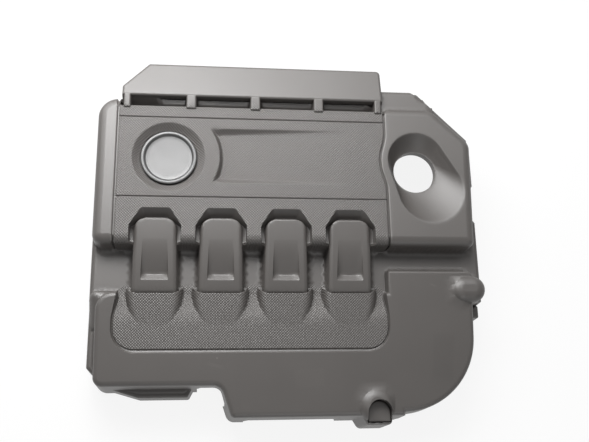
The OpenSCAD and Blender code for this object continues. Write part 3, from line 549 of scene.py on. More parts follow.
def coverHeight(x, y):
    # The cover's upper surface as a height over the plan. Forms are joined by the larger height, cuts by the
    # smaller, and the soft ones by a rounded version of either.
    z = formHeight(forms["deck"], x, y)
    low = np.maximum(formHeight(forms["apron"], x, y), formHeight(forms["bulge"], x, y))
    low = np.maximum(low, formHeight(forms["hump"], x, y))
    z = np.maximum(z, sunkField(x, y, low))
    for name in ("boss", "ledge", "tab", "sideTab"):
        z = np.maximum(z, formHeight(forms[name], x, y))
    dome = formHeight(forms["rightDome"], x, y)
    z = np.where(dome > 55, softMax(z, dome, 2.5), np.maximum(z, dome))
    dome = formHeight(forms["bossDome"], x, y)
    z = np.where((dome > 50) & (z > 40), softMax(z, dome, 2.5), np.maximum(z, np.where(z > 0, dome, below)))
    z = np.minimum(z, pocketPlug(x, y))
    cut = seamCut(x, y)
    high = formHeight(forms["main"], x, y, cut)
    changeIn(high, x, y, (flapL + 1, flapR - 1, 150, 205), lambda h, x, y: np.where(
        y > mainPanel["edgeY"] - 14, slotHeight(x, y), h))
    side = formHeight(forms["shoulder"], x, y)
    away = (mainR + shoulder["rear"] - shoulder["cut"] - x - y) / math.sqrt(2)
    drop = shoulder["fall"] * np.clip(1 - (away - 2) / shoulder["fallWidth"], 0, 1) ** 2
    side -= np.where(side > 80, drop, 0)
    high = np.maximum(high, side)
    for cx in hoodXs:
        changeIn(high, x, y, (cx - 36, cx + 36, -40, 38),
                 lambda h, x, y: np.where(h > 50, softMin(h, pocketFloor(cx, x, y), pocket["soft"]), h))
    changeIn(high, x, y, (bowl["x"] - 60, bowl["x"] + 75, 10, 165), lambda h, x, y: softMin(
        h, bowlHeight(x, y), bowl["soft"]))
    changeIn(high, x, y, (badgeSeat["x"] - 54, badgeSeat["x"] + 54, 50, 165), lambda h, x, y: softMin(
        h, dishHeight(x, y), badgeSeat["soft"]))
    changeIn(high, x, y, (badgeSeat["x"] + 40, recess["right"] + 12, recess["front"] - 6, recess["rear"] + 6),
             lambda h, x, y: softMin(h, recessHeight(x, y), recess["soft"] * 0.6))
    z = np.maximum(z, high)
    for cx, form in zip(hoodXs, hoodForms):
        changeIn(z, x, y, (cx - 45, cx + 45, collar["front"], 32), lambda h, x, y: np.maximum(
            np.maximum(h, hoodHeight(form, cx, x, y)), collarHeight(cx, x, y)))
    return z


forms = coverForms()
hoodForms = [hoodForm(cx) for cx in hoodXs]
field["outline"] = fieldOutline(0.0, 0.0, field["cornerR"])
field["inner"] = fieldOutline(field["innerGap"], field["innerFront"], field["innerR"])
bossPocket["outline"] = makeOutline([
    [bossPocket["x"] + i * bossPocket["r"], frontY + y, r] for i, y, r in (
        (-1, bossPocket["lip"], 1.0), (1, bossPocket["lip"], 1.0),
        (1, bossPocket["gap"] + bossPocket["r"], bossPocket["r"] - 0.01),
        (-1, bossPocket["gap"] + bossPocket["r"], bossPocket["r"] - 0.01))])


# From heights to a mesh

def grid(rows, columns):
    # Points at every crossing of lines y = rows and x = columns.
    return np.stack(np.meshgrid(columns, rows), -1)


def span(a, b, step):
    return np.linspace(a, b, max(2, round(abs(b - a) / step) + 1))


def rings(cx, cy, radii, count):
    a = np.arange(count) * math.tau / count
    return np.stack([np.stack([cx + r * np.cos(a), cy + r * np.sin(a)], 1) for r in radii])


def seamLine(offset, ys):
    # Points where seamSide has the given value: halves the span in x again and again.
    low, high = np.full(ys.shape, seamLeft + 150.0), np.full(ys.shape, rightX - 100.0)
    for _ in range(24):
        x = (low + high) / 2
        inner = seamSide(x, ys) > offset
        low, high = np.where(inner, x, low), np.where(inner, high, x)
    return np.stack([low, ys], 1)


def bowlRings(levels):
    # Lines of equal level: straight blends between the hole's circle and the upper outline.
    a = np.arange(96) * math.tau / 96
    n = np.stack([np.cos(a), np.sin(a)], 1)
    low = np.array([bowl["x"], bowl["y"]]) + n * (bowl["holeR"] + bowl["lip"])
    first, second = np.array(bowlTop) + n * bowl["topR"], np.array(bowlLow) + n * bowl["lowR"]
    top = np.where(((first - second) * n).sum(1)[:, None] > 0, first, second)
    return np.stack([low + (top - low) * t for t in levels])


def coverPatches():
    # Rows of points that follow every form and feature. A patch with a height of its own is cut where another
    # form covers it.
    always = None
    patches = []
    for name in ("main", "shoulder", "deck", "apron", "bulge", "hump", "boss", "ledge", "tab", "sideTab",
                 "rightDome", "bossDome"):
        form = forms[name]
        own = lambda x, y, f=form, m=name == "main": formHeight(f, x, y, seamCut(x, y) if m else None)
        patches.append((formRows(form), own, True))
    for cx, form in zip(hoodXs, hoodForms):
        own = lambda x, y, f=form, c=cx: hoodHeight(f, c, x, y)
        patches.append((formRows(form), own, True))
        y0, y1, y2 = notchPlaces()
        front, rear, w = collar["rear"] - 3, hoods["rear"] - 4, notch["half"] + 5
        across = span(cx - w, cx + w, 6)
        for ys, xs in ((span(front, rear, 4), [cx - w - 3, cx - w]), (span(front, rear, 4), [cx + w, cx + w + 3]),
                       (span(y0 + 2, rear, 4), across), (span(front, y2 - 2, 4), across)):
            patches.append((grid(ys, xs), own, False))
        patches.append((notchRows(cx), own, False))
        lines = [pocketLine(cx, top, d) for top in (False, True) for d in (-0.5, 0, 0.5)]
        for part in (lines[:3], lines[3:]):
            patches.append((np.stack(part), always, False))
        own = lambda x, y, c=cx: collarHeight(c, x, y)
        patches.append((collarRows(cx), own, False))
    m = mainPanel
    ys = span(m["front"], m["edgeY"], 3)
    across = (-3.2, -1.2, -0.75, 0, 0.75, 1.2, 3.2)
    patches.append((np.stack([np.stack([np.full(ys.shape, seamLeft + d), ys], 1) for d in across]),
                    patches[0][1], False))
    patches.append((np.stack([seamLine(d, ys) for d in across]), patches[0][1], False))
    for y in seams["crossY"]:
        patches.append((grid([y + d for d in (-1.7, -0.8, -0.45, 0.45, 0.8, 1.7)],
                             span(seamLeft + 1.2, seamRight - 1.2, 4)), patches[0][1], False))
    patches.append((bowlRings((0, 0.04, 0.1, 0.2, 0.32, 0.45, 0.58, 0.7, 0.8, 0.88, 0.94, 0.98, 1.02, 1.07, 1.14)),
                    always, True))
    b = badgeSeat
    edge = b["r"] + b["gap"]
    patches.append((rings(b["x"], b["y"], (edge, edge + 0.3, edge + 1.5, 43.5, 46, 48, 49, 49.7, 50.4, 51.2, 52.5),
                          100), always, True))
    r = recess
    end = b["dishR"] + r["land"]
    angles = np.arcsin(np.linspace(-1, 1, 30) * 40 / end)
    arcs = [np.stack([b["x"] + q * np.cos(angles), b["y"] + 3 + q * np.sin(angles)], 1)
            for q in (end - 1, end, end + 1, end + 2.5, end + 4.2, end + 5.5, end + 7)]
    patches.append((np.stack(arcs), always, False))
    edges = (-1.5, 0, 1.2, 3, 5, 7, 8.4, 10)
    patches.append((grid([*(r["front"] + d for d in edges), *(r["rear"] - d for d in reversed(edges))],
                         span(b["x"] + end + 4, r["right"] + 4, 6)), always, False))
    patches.append((grid([m["edgeY"] + d for d in (-3, -1.6, -1.0, -0.4, 0, 0.6, 1.8)], span(flapL + 1.2, flapR - 1.2, 4)),
                    always, False))
    f = field
    patches.append((np.stack([ring(f["outline"], d, 3) for d in (-1.2, -0.3, 0, 0.4, 1.1)]), lowOwn, True))
    patches.append((np.stack([ring(f["inner"], d, 3) for d in (-0.5, 0, 0.6, 1.2, 1.6, 2.6)]), lowOwn, True))
    c = f["crest"]
    patches.append((grid([c - 14, c - 10, c - 6, c - 2, c + 1.5, c + 5, c + 12, f["foot"] - 3, f["foot"],
                          f["foot"] + 3], span(apronL + f["leftGap"] + 2, f["right"] - 2, 4)), lowOwn, False))
    d = bossPocket["slit"]
    levels = (-1.0, -0.35, 0.0, d - 0.2, d, d + 0.3, d + 0.8, d + 1.4, d + 2.2, d + 4)
    patches.append((np.stack([ring(bossPocket["outline"], level, 2) for level in levels]), always, True))
    return patches


def pocketLine(cx, top, d):
    # The outline of a pocket moved by d, without its open front.
    line = ring(pocketOutline(cx, top), d, 2)
    across, along = np.abs(line[:, 0] - cx), line[:, 1]
    edge = np.flatnonzero((along > mainPanel["front"] + 11) & (across > 1))
    return line[edge.min():edge.max() + 1]


def notchRows(cx):
    # Rows that keep the notch's creases: both sides of its rim, and the foot of its walls.
    y0, y1, y2 = notchPlaces()
    ys = np.array([y0 + 0.25, y0 - 0.25, *np.linspace(y0 - 3, y1, 12), *np.linspace(y1 - 2, y2 + 0.25, 4), y2 - 0.25])
    floor, inner, out = notchLines(np.clip(ys, y2, y0))
    shares = np.stack([-out - 0.25, -out, -inner, -inner * 0.5, 0 * inner, inner * 0.5, inner, out, out + 0.25], 1)
    return np.stack([cx + shares, np.repeat(ys[:, None], shares.shape[1], 1)], -1)


def collarRows(cx):
    c = collar
    share = np.array([-1.03, -1, -0.985, -0.95, -0.9, -0.84, -0.77, -0.69, -0.6, -0.45, -0.25, 0, 0.25, 0.45, 0.6, 0.69,
                      0.77, 0.84, 0.9, 0.95, 0.985, 1, 1.03])
    rows = []
    for v in (-1.0, -0.5, 0.0, 0.004, 0.01, 0.02, 0.05, *np.linspace(0.1, 1, 18)):
        half = collarShape(v)
        ear = np.clip((np.abs(share) * half - c["earFrom"]) / (c["half"] - c["earFrom"]), 0, 1.2)
        lip = c["rear"] + c["ear"] * ear**2
        y = lip - v * c["behind"] if v < 0 else lip + (c["front"] + 0.5 - lip) * v
        rows.append(np.stack([cx + share * half, y], 1))
    return np.stack(rows)


def lowOwn(x, y):
    # The lower panel alone, to see where hoods, collars and domes cover it.
    z = coverHeight(x, y)
    return np.where((z > 30) & (z < 90) & (y < 10), z, below)


def trimPatches(patches, height, tolerance=0.03):
    # Keeps the visible stretches of each row and finds, by halving, where a row or column dips under another
    # form. Those crossings are joined into crease lines.
    points, edges = [], []
    total = 0
    for xy, own, closed in patches:
        n, m = xy.shape[:2]
        flat = xy.reshape(-1, 2)
        if own is None:
            seen = height(flat[:, 0].copy(), flat[:, 1].copy()) > 1
        else:
            test = lambda p: np.abs(height(p[:, 0].copy(), p[:, 1].copy()) - own(p[:, 0], p[:, 1])) < tolerance
            seen = test(flat) & (own(flat[:, 0], flat[:, 1]) > -1)
        index = np.arange(n * m).reshape(n, m)
        ahead = np.roll(index, -1, 1) if closed else index[:, 1:]
        here = index if closed else index[:, :-1]
        pairs = [np.stack([here.ravel(), ahead.ravel()], 1), np.stack([index[:-1].ravel(), index[1:].ravel()], 1)]
        both = seen[pairs[0]].all(1)
        keep = np.flatnonzero(seen)
        place = np.full(n * m, -1)
        place[keep] = np.arange(len(keep)) + total
        points.append(flat[keep])
        edges.append(place[pairs[0][both]])
        total += len(keep)
        if own is None:
            continue
        every = np.concatenate(pairs)
        flips = np.flatnonzero(seen[every[:, 0]] != seen[every[:, 1]])
        if not len(flips):
            continue
        a, b = every[flips, 0], every[flips, 1]
        inner, outer = np.where(seen[a], a, b), np.where(seen[a], b, a)
        p, q = flat[inner].copy(), flat[outer].copy()
        for _ in range(11):
            middle = (p + q) / 2
            good = (test(middle) & (own(middle[:, 0], middle[:, 1]) > -1))[:, None]
            p, q = np.where(good, middle, p), np.where(good, q, middle)
        spot = np.full(len(every), -1)
        spot[flips] = np.arange(len(flips)) + total
        points.append(p)
        total += len(flips)
        alongRow = flips < len(pairs[0])
        edges.append(np.stack([place[inner[alongRow]], spot[flips[alongRow]]], 1))
        rowSpot = spot[:len(pairs[0])].reshape(here.shape)
        columnSpot = spot[len(pairs[0]):].reshape(n - 1, m)
        sides = np.stack([rowSpot[:-1], rowSpot[1:], columnSpot if closed else columnSpot[:, :-1],
                          np.roll(columnSpot, -1, 1) if closed else columnSpot[:, 1:]], -1).reshape(-1, 4)
        cells = sides[(sides >= 0).sum(1) == 2]
        edges.append(np.sort(cells, 1)[:, 2:])
    return np.concatenate(points), np.concatenate(edges)


def fillPoints(points, height, step, gap):
    # Points of a triangular lattice that lie on the cover and clear of all other points.
    lowX, lowY = leftX - 2, frontY - 2
    size = (int((rearY - lowY) / gap) + 8, int((rightX - lowX) / gap) + 8)
    taken = np.zeros(size, bool)
    i, j = ((points[:, 1] - lowY) / gap).astype(int), ((points[:, 0] - lowX) / gap).astype(int)
    for a in (-1, 0, 1):
        for b in (-1, 0, 1):
            taken[i + a, j + b] = True
    rows = np.arange(lowY + 3, rearY, step * math.sqrt(3) / 2)
    lattice = np.concatenate([np.stack([np.arange(lowX + 3 + (k % 2) * step / 2, rightX, step),
                                        np.full(len(np.arange(lowX + 3 + (k % 2) * step / 2, rightX, step)), y)], 1)
                              for k, y in enumerate(rows)])
    i, j = ((lattice[:, 1] - lowY) / gap).astype(int), ((lattice[:, 0] - lowX) / gap).astype(int)
    free = ~taken[i, j] & (height(lattice[:, 0].copy(), lattice[:, 1].copy()) > 5)
    return lattice[free]


def surfaceMesh(patches, height):
    # Triangulates the points with the crease lines kept, lifts them and closes the shape at the rim.
    points, edges = trimPatches(patches, height)
    points = np.concatenate([points, fillPoints(points, height, moulding["fillStep"], 2.6)])
    edges = edges[edges[:, 0] != edges[:, 1]]
    made = delaunay_2d_cdt([Vector(p) for p in points.tolist()], edges.tolist(), [], 0, moulding["merge"])
    flat = np.array([tuple(v) for v in made[0]])
    faces = np.array(made[2])
    middle = flat[faces].mean(1)
    faces = faces[height(middle[:, 0].copy(), middle[:, 1].copy()) > -1]
    for _ in range(3):
        faces = withoutPinches(flat, faces)
    z = np.maximum(height(flat[:, 0].copy(), flat[:, 1].copy()), 0)
    return flat, z, faces


def openEdges(flat, faces):
    edges = np.concatenate([faces[:, [0, 1]], faces[:, [1, 2]], faces[:, [2, 0]]])
    order = np.sort(edges, 1).astype(np.int64)
    single = np.unique(order[:, 0] * len(flat) + order[:, 1], return_index=True, return_counts=True)
    return edges[single[1][single[2] == 1]]


def withoutPinches(flat, faces):
    # Drops slivers that meet the rest of the surface in a point of the rim only.
    met = np.bincount(openEdges(flat, faces).ravel(), minlength=len(flat))
    return faces[~((met[faces] > 2).any(1) & (met[faces] > 0).all(1))]


def addMesh(name, points, faces, smooth=True):
    mesh = bpy.data.meshes.new(name)
    mesh.from_pydata((np.asarray(points) / mm).tolist(), [], faces)
    mesh.polygons.foreach_set("use_smooth", [smooth] * len(mesh.polygons))
    mesh.update()
    piece = bpy.data.objects.new(name, mesh)
    bpy.context.scene.collection.objects.link(piece)
    return piece


def closedSurface(name, flat, z, faces):
    # Adds a flat bottom inside the open edge of a surface.
    rimEdges = openEdges(flat, faces)
    used = np.unique(rimEdges)
    back = np.full(len(flat), -1)
    back[used] = np.arange(len(used))
    cap = delaunay_2d_cdt([Vector(p) for p in flat[used].tolist()], back[rimEdges].tolist(), [], 2, 1e-6)
    source = np.array([origin[0] for origin in cap[3]])  # the output order differs from the input
    capFaces = source[np.array(cap[2])][:, ::-1] + len(flat)
    a, b = rimEdges[:, 0], rimEdges[:, 1]
    foot = back[rimEdges] + len(flat)
    sides = np.concatenate([np.stack([b, a, foot[:, 0]], 1), np.stack([b, foot[:, 0], foot[:, 1]], 1)])
    z = z.copy()
    z[used] = moulding["rimEdge"]
    points = np.concatenate([np.column_stack([flat, z]), np.column_stack([flat[used], np.zeros(len(used))])])
    return addMesh(name, points, np.concatenate([faces, sides, capFaces]).tolist())


def loftFaces(rows, count):
    # Faces between rows of equal closed rings, with a cap on the first and on the last.
    here = np.arange(rows - 1)[:, None] * count + np.arange(count)
    ahead = np.arange(rows - 1)[:, None] * count + np.roll(np.arange(count), -1)
    sides = np.stack([here, ahead, ahead + count, here + count], -1).reshape(-1, 4)
    return [*sides.tolist(), list(range(count - 1, -1, -1)), list(range((rows - 1) * count, rows * count))]


def loft(name, rows):
    rows = np.asarray(rows)
    piece = addMesh(name, rows.reshape(-1, 3), loftFaces(len(rows), rows.shape[1]))
    made = bmesh.new()
    made.from_mesh(piece.data)
    bmesh.ops.recalc_face_normals(made, faces=made.faces)
    made.to_mesh(piece.data)
    made.free()
    return piece


def formSolid(name, form, skin=0.0):
    # The closed block of a form, or the smaller one inside its wall.
    roll, base = form["roll"], form["base"]
    edge = max(roll - skin, 0.8)
    turns = np.radians([0, 45, 90] if skin else [0, 14, 30, 48, 68, 90])
    rows = [(form["outline"], skin, base - 2 if skin else base)]
    levels = [(skin + form["lean"] + edge * (1 - math.cos(a)), edge * (1 - math.sin(a))) for a in turns]
    step = 12 if skin else form["step"]
    points = [np.column_stack([ring(form["outline"], skin, step), np.full(len(ring(form["outline"], skin, step)),
                                                                           rows[0][2])])]
    for d, sink in levels:
        xy = ring(form["outline"], d, step)
        points.append(np.column_stack([xy, planeAt(form["plane"], xy[:, 1]) - skin - sink]))
    return loft(name, points)


def archRow(x, y, half, z, roll, foot, flare):
    # A row across a hood or collar: feet, rolled shoulders and a flat top.
    a = np.radians([0, 30, 60, 90])
    right = np.stack([x + half - roll + roll * np.cos(a), z - roll + roll * np.sin(a)], 1)
    left = np.stack([2 * x - right[::-1, 0], right[::-1, 1]], 1)
    row = np.concatenate([[[x + half + flare, foot]], right, left, [[x - half - flare, foot]]])
    return np.column_stack([row[:, 0], np.full(len(row), y), row[:, 1]])


def union(name, parts):
    solid = parts[0]
    solid.name = name
    for part in parts[1:]:
        combine(solid, part, "UNION")
    return solid


def innerSolid(skin):
    # A rough solid one skin below the moulding's surface. What lies outside it is the visible shell.
    inside = lambda *names: [formSolid("inner", forms[name], skin) for name in names]
    low = union("inner_low", inside("apron", "bulge", "hump"))
    combine(low, fieldCut(skin), "DIFFERENCE")
    low = union("inner_low", [low, *inside("deck", "boss", "ledge", "tab", "sideTab", "rightDome")])
    combine(low, bossCut(skin), "DIFFERENCE")
    high = union("inner_high", inside("main", "shoulder"))
    for cut in (*[pocketCut(cx, skin) for cx in hoodXs], bowlCut(skin), dishCut(skin), recessCut(skin), slotCut(skin)):
        combine(high, cut, "DIFFERENCE")
    return union("inner", [high, low, *inside("flap"), *[hoodSolid(cx, skin) for cx in hoodXs]])


def circle(x, y, z, r, count=48):
    a = np.arange(count) * math.tau / count
    return np.column_stack([x + r * np.cos(a), y + r * np.sin(a), np.full(count, z)])


def bowlCut(grow):
    rows = bowlRings((0, 1))
    z = mainPanel["height"]
    low, top = rows[0], rows[1]
    out = lambda xy, by: xy + by * unit(xy - xy.mean(0))
    level = lambda xy, h: np.column_stack([xy, np.full(len(xy), h)])
    return loft("cut", [level(out(low, grow / 2), z - bowl["depth"] - grow), level(out(top, grow), z),
                        level(out(top, grow), z + 9)])


def dishCut(grow):
    b, z = badgeSeat, mainPanel["height"]
    edge = b["r"] + b["gap"] + grow
    return loft("cut", [circle(b["x"], b["y"], h, r) for h, r in (
        (z - b["dish"] - b["seat"] - grow, edge), (z - b["dish"] - grow, edge + 1.5), (z - grow, b["dishR"] + grow),
        (z + 9, b["dishR"] + grow + 1))])


def recessCut(grow):
    r, z = recess, mainPanel["height"]
    section = lambda x, depth: np.array([
        [x, r["front"] - grow, z + 5], [x, r["rear"] + grow, z + 5], [x, r["rear"] + grow, z - grow],
        [x, r["rear"] - r["side"] + grow, z - depth - grow], [x, r["front"] + r["side"] - grow, z - depth - grow],
        [x, r["front"] - grow, z - grow]])
    return loft("cut", [section(badgeSeat["x"] + 30, r["depth"]), section(r["right"] + 4, 0.3)][::-1])


def slotFace(y):
    # Side view of the face inside the slot under the flap.
    return planeAt(flapPlane, flap["front"] + 4) - 2 - (flap["front"] + 3 - y) * flap["slotFall"]


def slotCut(grow):
    y, z = mainPanel["edgeY"], mainPanel["height"] + 20
    profile = [(y - grow, z), (y - grow, slotFace(y) - grow), (y + 1, slotFace(y + 1) - grow),
               (flap["front"] + 5, slotFace(flap["front"] + 5) - grow), (flap["front"] + 5, z)]
    return loft("cut", [[(x, *spot) for spot in profile] for x in (flapR + grow, flapL - grow)])


def fieldCut(grow):
    f = field
    ys = np.array([200.0, f["foot"], f["crest"] + 5, f["crest"] - 2, f["crest"] - 10, f["front"] - grow])
    profile = [(200.0, 120.0), *zip(ys, fieldLine(ys) - f["grooveDepth"] - grow), (f["front"] - grow, 120.0)]
    return loft("cut", [[(x, y, z) for y, z in profile] for x in
                        (f["right"] + grow, apronL + f["leftGap"] - grow)])


def bossCut(grow):
    b = bossPocket
    x, y, r = b["x"], frontY + b["gap"] - 4, b["r"] + grow + 3
    return loft("cut", [circle(x, y, b["floor"] - 4 - grow, r), circle(x, y, 120, r)])


def hoodSolid(cx, skin):
    h, n = hoods, notch
    roll = max(h["roll"] - skin, 2)
    rows = []
    for d, narrow in ((skin, 10.0), (skin + 2.5, 4.5), (h["cornerR"] * 0.6, 1.2), (h["cornerR"], 0),
                      (40, 0), (60, 0), (80, 0), (h["rear"] - h["front"] - skin / 2, 0)):
        y = h["rear"] - d
        rows.append(archRow(cx, y, h["halfWidth"] - skin - narrow, hoodTop(y) - skin, roll, h["foot"] - skin,
                            h["flare"]))
    solid = loft("hood", rows[::-1])
    y0, y1, y2 = notchPlaces()
    profile = [(y0 + 4, 120), (y0 + 4, hoodTop(y0) - skin), (y1, hoodTop(y1) - n["depth"] - skin),
               (y2 - 2, hoodTop(y2) - skin), (y2 - 2, 120)]
    half = n["half"] + n["wider"] + skin / 2
    combine(solid, loft("cut", [[(cx + x, y, z) for y, z in profile] for x in (half, -half)]), "DIFFERENCE")
    return solid


def pocketCut(cx, grow):
    p, z = pocket, mainPanel["height"]
    shape = lambda d, e, level: [[x, y, level] for x, y in (
        (cx - p["half"] + d - grow, mainPanel["front"] - 20), (cx + p["half"] - d + grow, mainPanel["front"] - 20),
        (cx + p["half"] - d + grow, p["rear"] - p["shoulder"] - d / 2),
        (cx + p["rearHalf"] - 0.45 * e + grow, p["rear"] - e + grow),
        (cx - p["rearHalf"] + 0.45 * e - grow, p["rear"] - e + grow),
        (cx - p["half"] + d - grow, p["rear"] - p["shoulder"] - d / 2))]
    return loft("cut", [shape(p["side"], p["slope"], z - p["depth"] - grow), shape(0, 0, z), shape(0, 0, z + 20)])


def copyOf(piece):
    other = bpy.data.objects.new("copy", piece.data.copy())
    bpy.context.scene.collection.objects.link(other)
    return other


def combine(piece, other, how):
    # Boolean of two closed shapes, applied at once. The other shape is used up.
    modifier = piece.modifiers.new("join", "BOOLEAN")
    modifier.operation, modifier.solver, modifier.object = how, "MANIFOLD", other
    bpy.context.view_layer.update()
    mesh = bpy.data.meshes.new_from_object(piece.evaluated_get(bpy.context.evaluated_depsgraph_get()))
    piece.modifiers.clear()
    old, piece.data = piece.data, mesh
    bpy.data.meshes.remove(old)
    bpy.data.objects.remove(other)


# The cover

arches = {"soft": 12.0, "rear": 40.0, "bulge": 26.0, "front": 46.0, "shoulderShare": 0.45, "sideShare": 0.7}
shell = {"skin": 2.5, "sharp": 35.0}


def archCuts():
    # Blocks with two cut corners that raise stretches of the rim.
    m, lp, soft = mainPanel, lowerPanel, arches["soft"]
    spans = [(-150, 60, rearY - 80, rearY + 20, arches["rear"]),
             (160, 215, m["rear"] - 30, rearY, arches["rear"] * arches["shoulderShare"]),
             (lp["stepX"] - 36, lp["stepX"] + 2, lp["stepY"] - 20, lp["stepY"] + 25, arches["front"]),
             (lp["stepX"] + 28, boss["x"] - boss["width"] / 2 - 14, lp["frontY"] - 20, lp["frontY"] + 25,
              arches["bulge"]),
             (boss["x"] + boss["width"] / 2 + 10, rightX + 10, bulge["front"] - 20, rightDome["y"] - 44,
              arches["bulge"]),
             (rightX - 40, rightX + 10, 0, deck["rear"] + 60, arches["bulge"] * arches["sideShare"])]
    cuts = []
    for x0, x1, y0, y1, z in spans:
        shape = [(x0, -1), (x1, -1), (x1, z - soft), (x1 - soft / 2, z), (x0 + soft / 2, z), (x0, z - soft)]
        cuts.append(loft("cut", [[(x, y, h) for x, h in shape] for y in (y1, y0)]))
    return cuts


def addCover():
    stage("working out the cover's surface")
    cover = closedSurface("engine_cover", *surfaceMesh(coverPatches(), coverHeight))
    for name in ("flap", *[f"finger{i}" for i in range(5)]):
        combine(cover, formSolid(name, forms[name]), "UNION")
    stage("hollowing the shell")
    inner = innerSolid(shell["skin"])
    combine(cover, copyOf(inner), "DIFFERENCE")
    for cut in archCuts():
        combine(cover, cut, "DIFFERENCE")
    core = copyOf(bpy.data.objects["cover"])
    made = bmesh.new()
    made.from_mesh(core.data)
    bmesh.ops.remove_doubles(made, verts=made.verts, dist=1e-6)
    made.to_mesh(core.data)
    made.free()
    combine(core, inner, "INTERSECT")
    combine(cover, core, "UNION")
    hole = [circle(bowl["x"], bowl["y"], z, bowl["holeR"] + bowl["wider"], 128) for z in (20, 140)]
    combine(cover, loft("cut", hole), "DIFFERENCE")
    markGrain(cover)
    cover.data.polygons.foreach_set("use_smooth", [True] * len(cover.data.polygons))
    cover.data.set_sharp_from_angle(angle=math.radians(shell["sharp"]))
    shading = cover.modifiers.new("shading", "WEIGHTED_NORMAL")
    shading.keep_sharp = True
    return cover


def markGrain(cover):
    # 1 where the moulding has its woven grain: the centre panel and the field with its collars.
    mesh = cover.data
    co = np.empty(len(mesh.vertices) * 3)
    mesh.vertices.foreach_get("co", co)
    x, y, z = co.reshape(-1, 3).T * mm
    inside = np.minimum(x - seamLeft, seamSide(x, y)) > 1.0
    level = mainPanel["height"]
    badgeFar = np.hypot(x - badgeSeat["x"], y - badgeSeat["y"]) > badgeSeat["r"] + badgeSeat["gap"]
    panel = inside & (y > mainPanel["front"] - 2) & (y < mainPanel["edgeY"] - 0.5) & (z > level - 12) & badgeFar
    for cx in hoodXs:
        panel &= ~((np.abs(x - cx) < pocket["half"]) & (y < pocket["rear"]) & (z < level - 0.4)
                   & (pocketFloor(cx, x, y) < level - 0.3))
    low = inset(field["inner"], x, y) > field["innerWall"] - 0.1
    surface = coverHeight(x.copy(), y.copy())
    low &= (y < collar["rear"] + collar["ear"]) & (z > surface - 0.5) & (z > 60)
    for cx in hoodXs:
        low &= ~((np.abs(x - cx) < hoods["halfWidth"] + 3) & (y > collar["rear"] + 0.2))
    grain = mesh.attributes.new("grain", "FLOAT", "POINT")
    grain.data.foreach_set("value", np.where(panel | low, 1.0, 0.0))


badge = {"x": badgeSeat["x"], "y": badgeSeat["y"], "r": badgeSeat["r"], "height": 5.0, "rim": 6.6, "lift": 0.05,
         "pinR": 2.0, "pinAt": 22.0, "pinLength": 6.0, "count": 128}


def addBadge():
    # A turned profile of (radius, height) points: rolled rim, step and a slightly dished blank face.
    b = badge
    seat = mainPanel["height"] - badgeSeat["dish"] - badgeSeat["seat"] + b["lift"]
    r, h, w = b["r"], b["height"], b["rim"]
    a = np.radians(np.linspace(-80, 90, 9))
    profile = [(r - 1.2, 0), (r - 0.2, 0.3), (r, 0.9), (r, h - 1.5)]
    profile += [(r - 1.3 + 1.3 * math.cos(t), h - 1.5 + 1.3 * math.sin(t)) for t in np.radians([20, 45, 70, 90])]
    profile += [(r - 2.6, h), (r - 3.8, h - 0.12), (r - w + 2.2, h - 0.35), (r - w + 1.2, h - 0.7),
                (r - w + 0.5, h - 1.35), (r - w, h - 1.75), (r - w - 0.7, h - 1.9)]
    profile += [((r - w - 0.7) * t, h - 2.6 + 0.7 * t * t) for t in (0.85, 0.7, 0.5, 0.3, 0.1)]
    rows = [circle(b["x"], b["y"], seat + z, q, b["count"]) for q, z in profile]
    piece = loft("round_badge", rows)
    for side in (-1, 1):
        pin = loft("pin", [circle(b["x"] + side * b["pinAt"], b["y"], z, b["pinR"], 24)
                           for z in (seat - b["pinLength"], seat + 0.5)])
        combine(piece, pin, "UNION")
    piece.data.polygons.foreach_set("use_smooth", [True] * len(piece.data.polygons))
    piece.data.set_sharp_from_angle(angle=math.radians(40))
    return piece


# Materials

def newMaterial(name):
    material = bpy.data.materials.new(name)
    material.use_nodes = True
    return material, material.node_tree, material.node_tree.nodes["Principled BSDF"]


def addNode(tree, kind, values=(), links=(), **settings):
    # A node with its settings, its fixed inputs and its linked inputs.
    node = tree.nodes.new("ShaderNode" + kind)
    for key, value in settings.items():
        setattr(node, key, value)
    for key, value in values:
        node.inputs[key].default_value = value
    for key, source in links:
        tree.links.new(source, node.inputs[key])
    return node


def mathNode(tree, how, *inputs):
    node = tree.nodes.new("ShaderNodeMath")
    node.operation = how
    for i, value in enumerate(inputs):
        if isinstance(value, (int, float)):
            node.inputs[i].default_value = value
        else:
            tree.links.new(value, node.inputs[i])
    return node.outputs[0]


plastic = {"dark": (0.066, 0.060, 0.056, 1), "light": (0.077, 0.070, 0.065, 1), "rough": (0.44, 0.52), "gloss": 0.92,
           "grainSize": 1500.0, "grainDepth": 0.00006, "weave": 0.0037, "weaveDepth": 0.0003}


# Handling wear on the lower panel, each mark a box of changed brightness: worn patches and scuff lines. The first,
# lighter box is a painted sheen where the panel has a slightly different gloss. Columns: x, y, half length, half width
# (mm), turn in degrees, soft edge, brightness.
wearAndSheenMarks = [(22, -187.7, 21, 12, 4, 0.12, 0.05), (206, -161, 16, 34, -4, 0.25, -0.07), (-103, -170.5, 14, 3, -15, 0.9, 0.16),
         (-100.6, -160.9, 1.4, 1.2, 0, 0.6, 0.9), (195, -64.4, 6, 1.6, -20, 0.9, 0.25), (-62, -223, 8, 8, 0, 0.5, 0.04)]


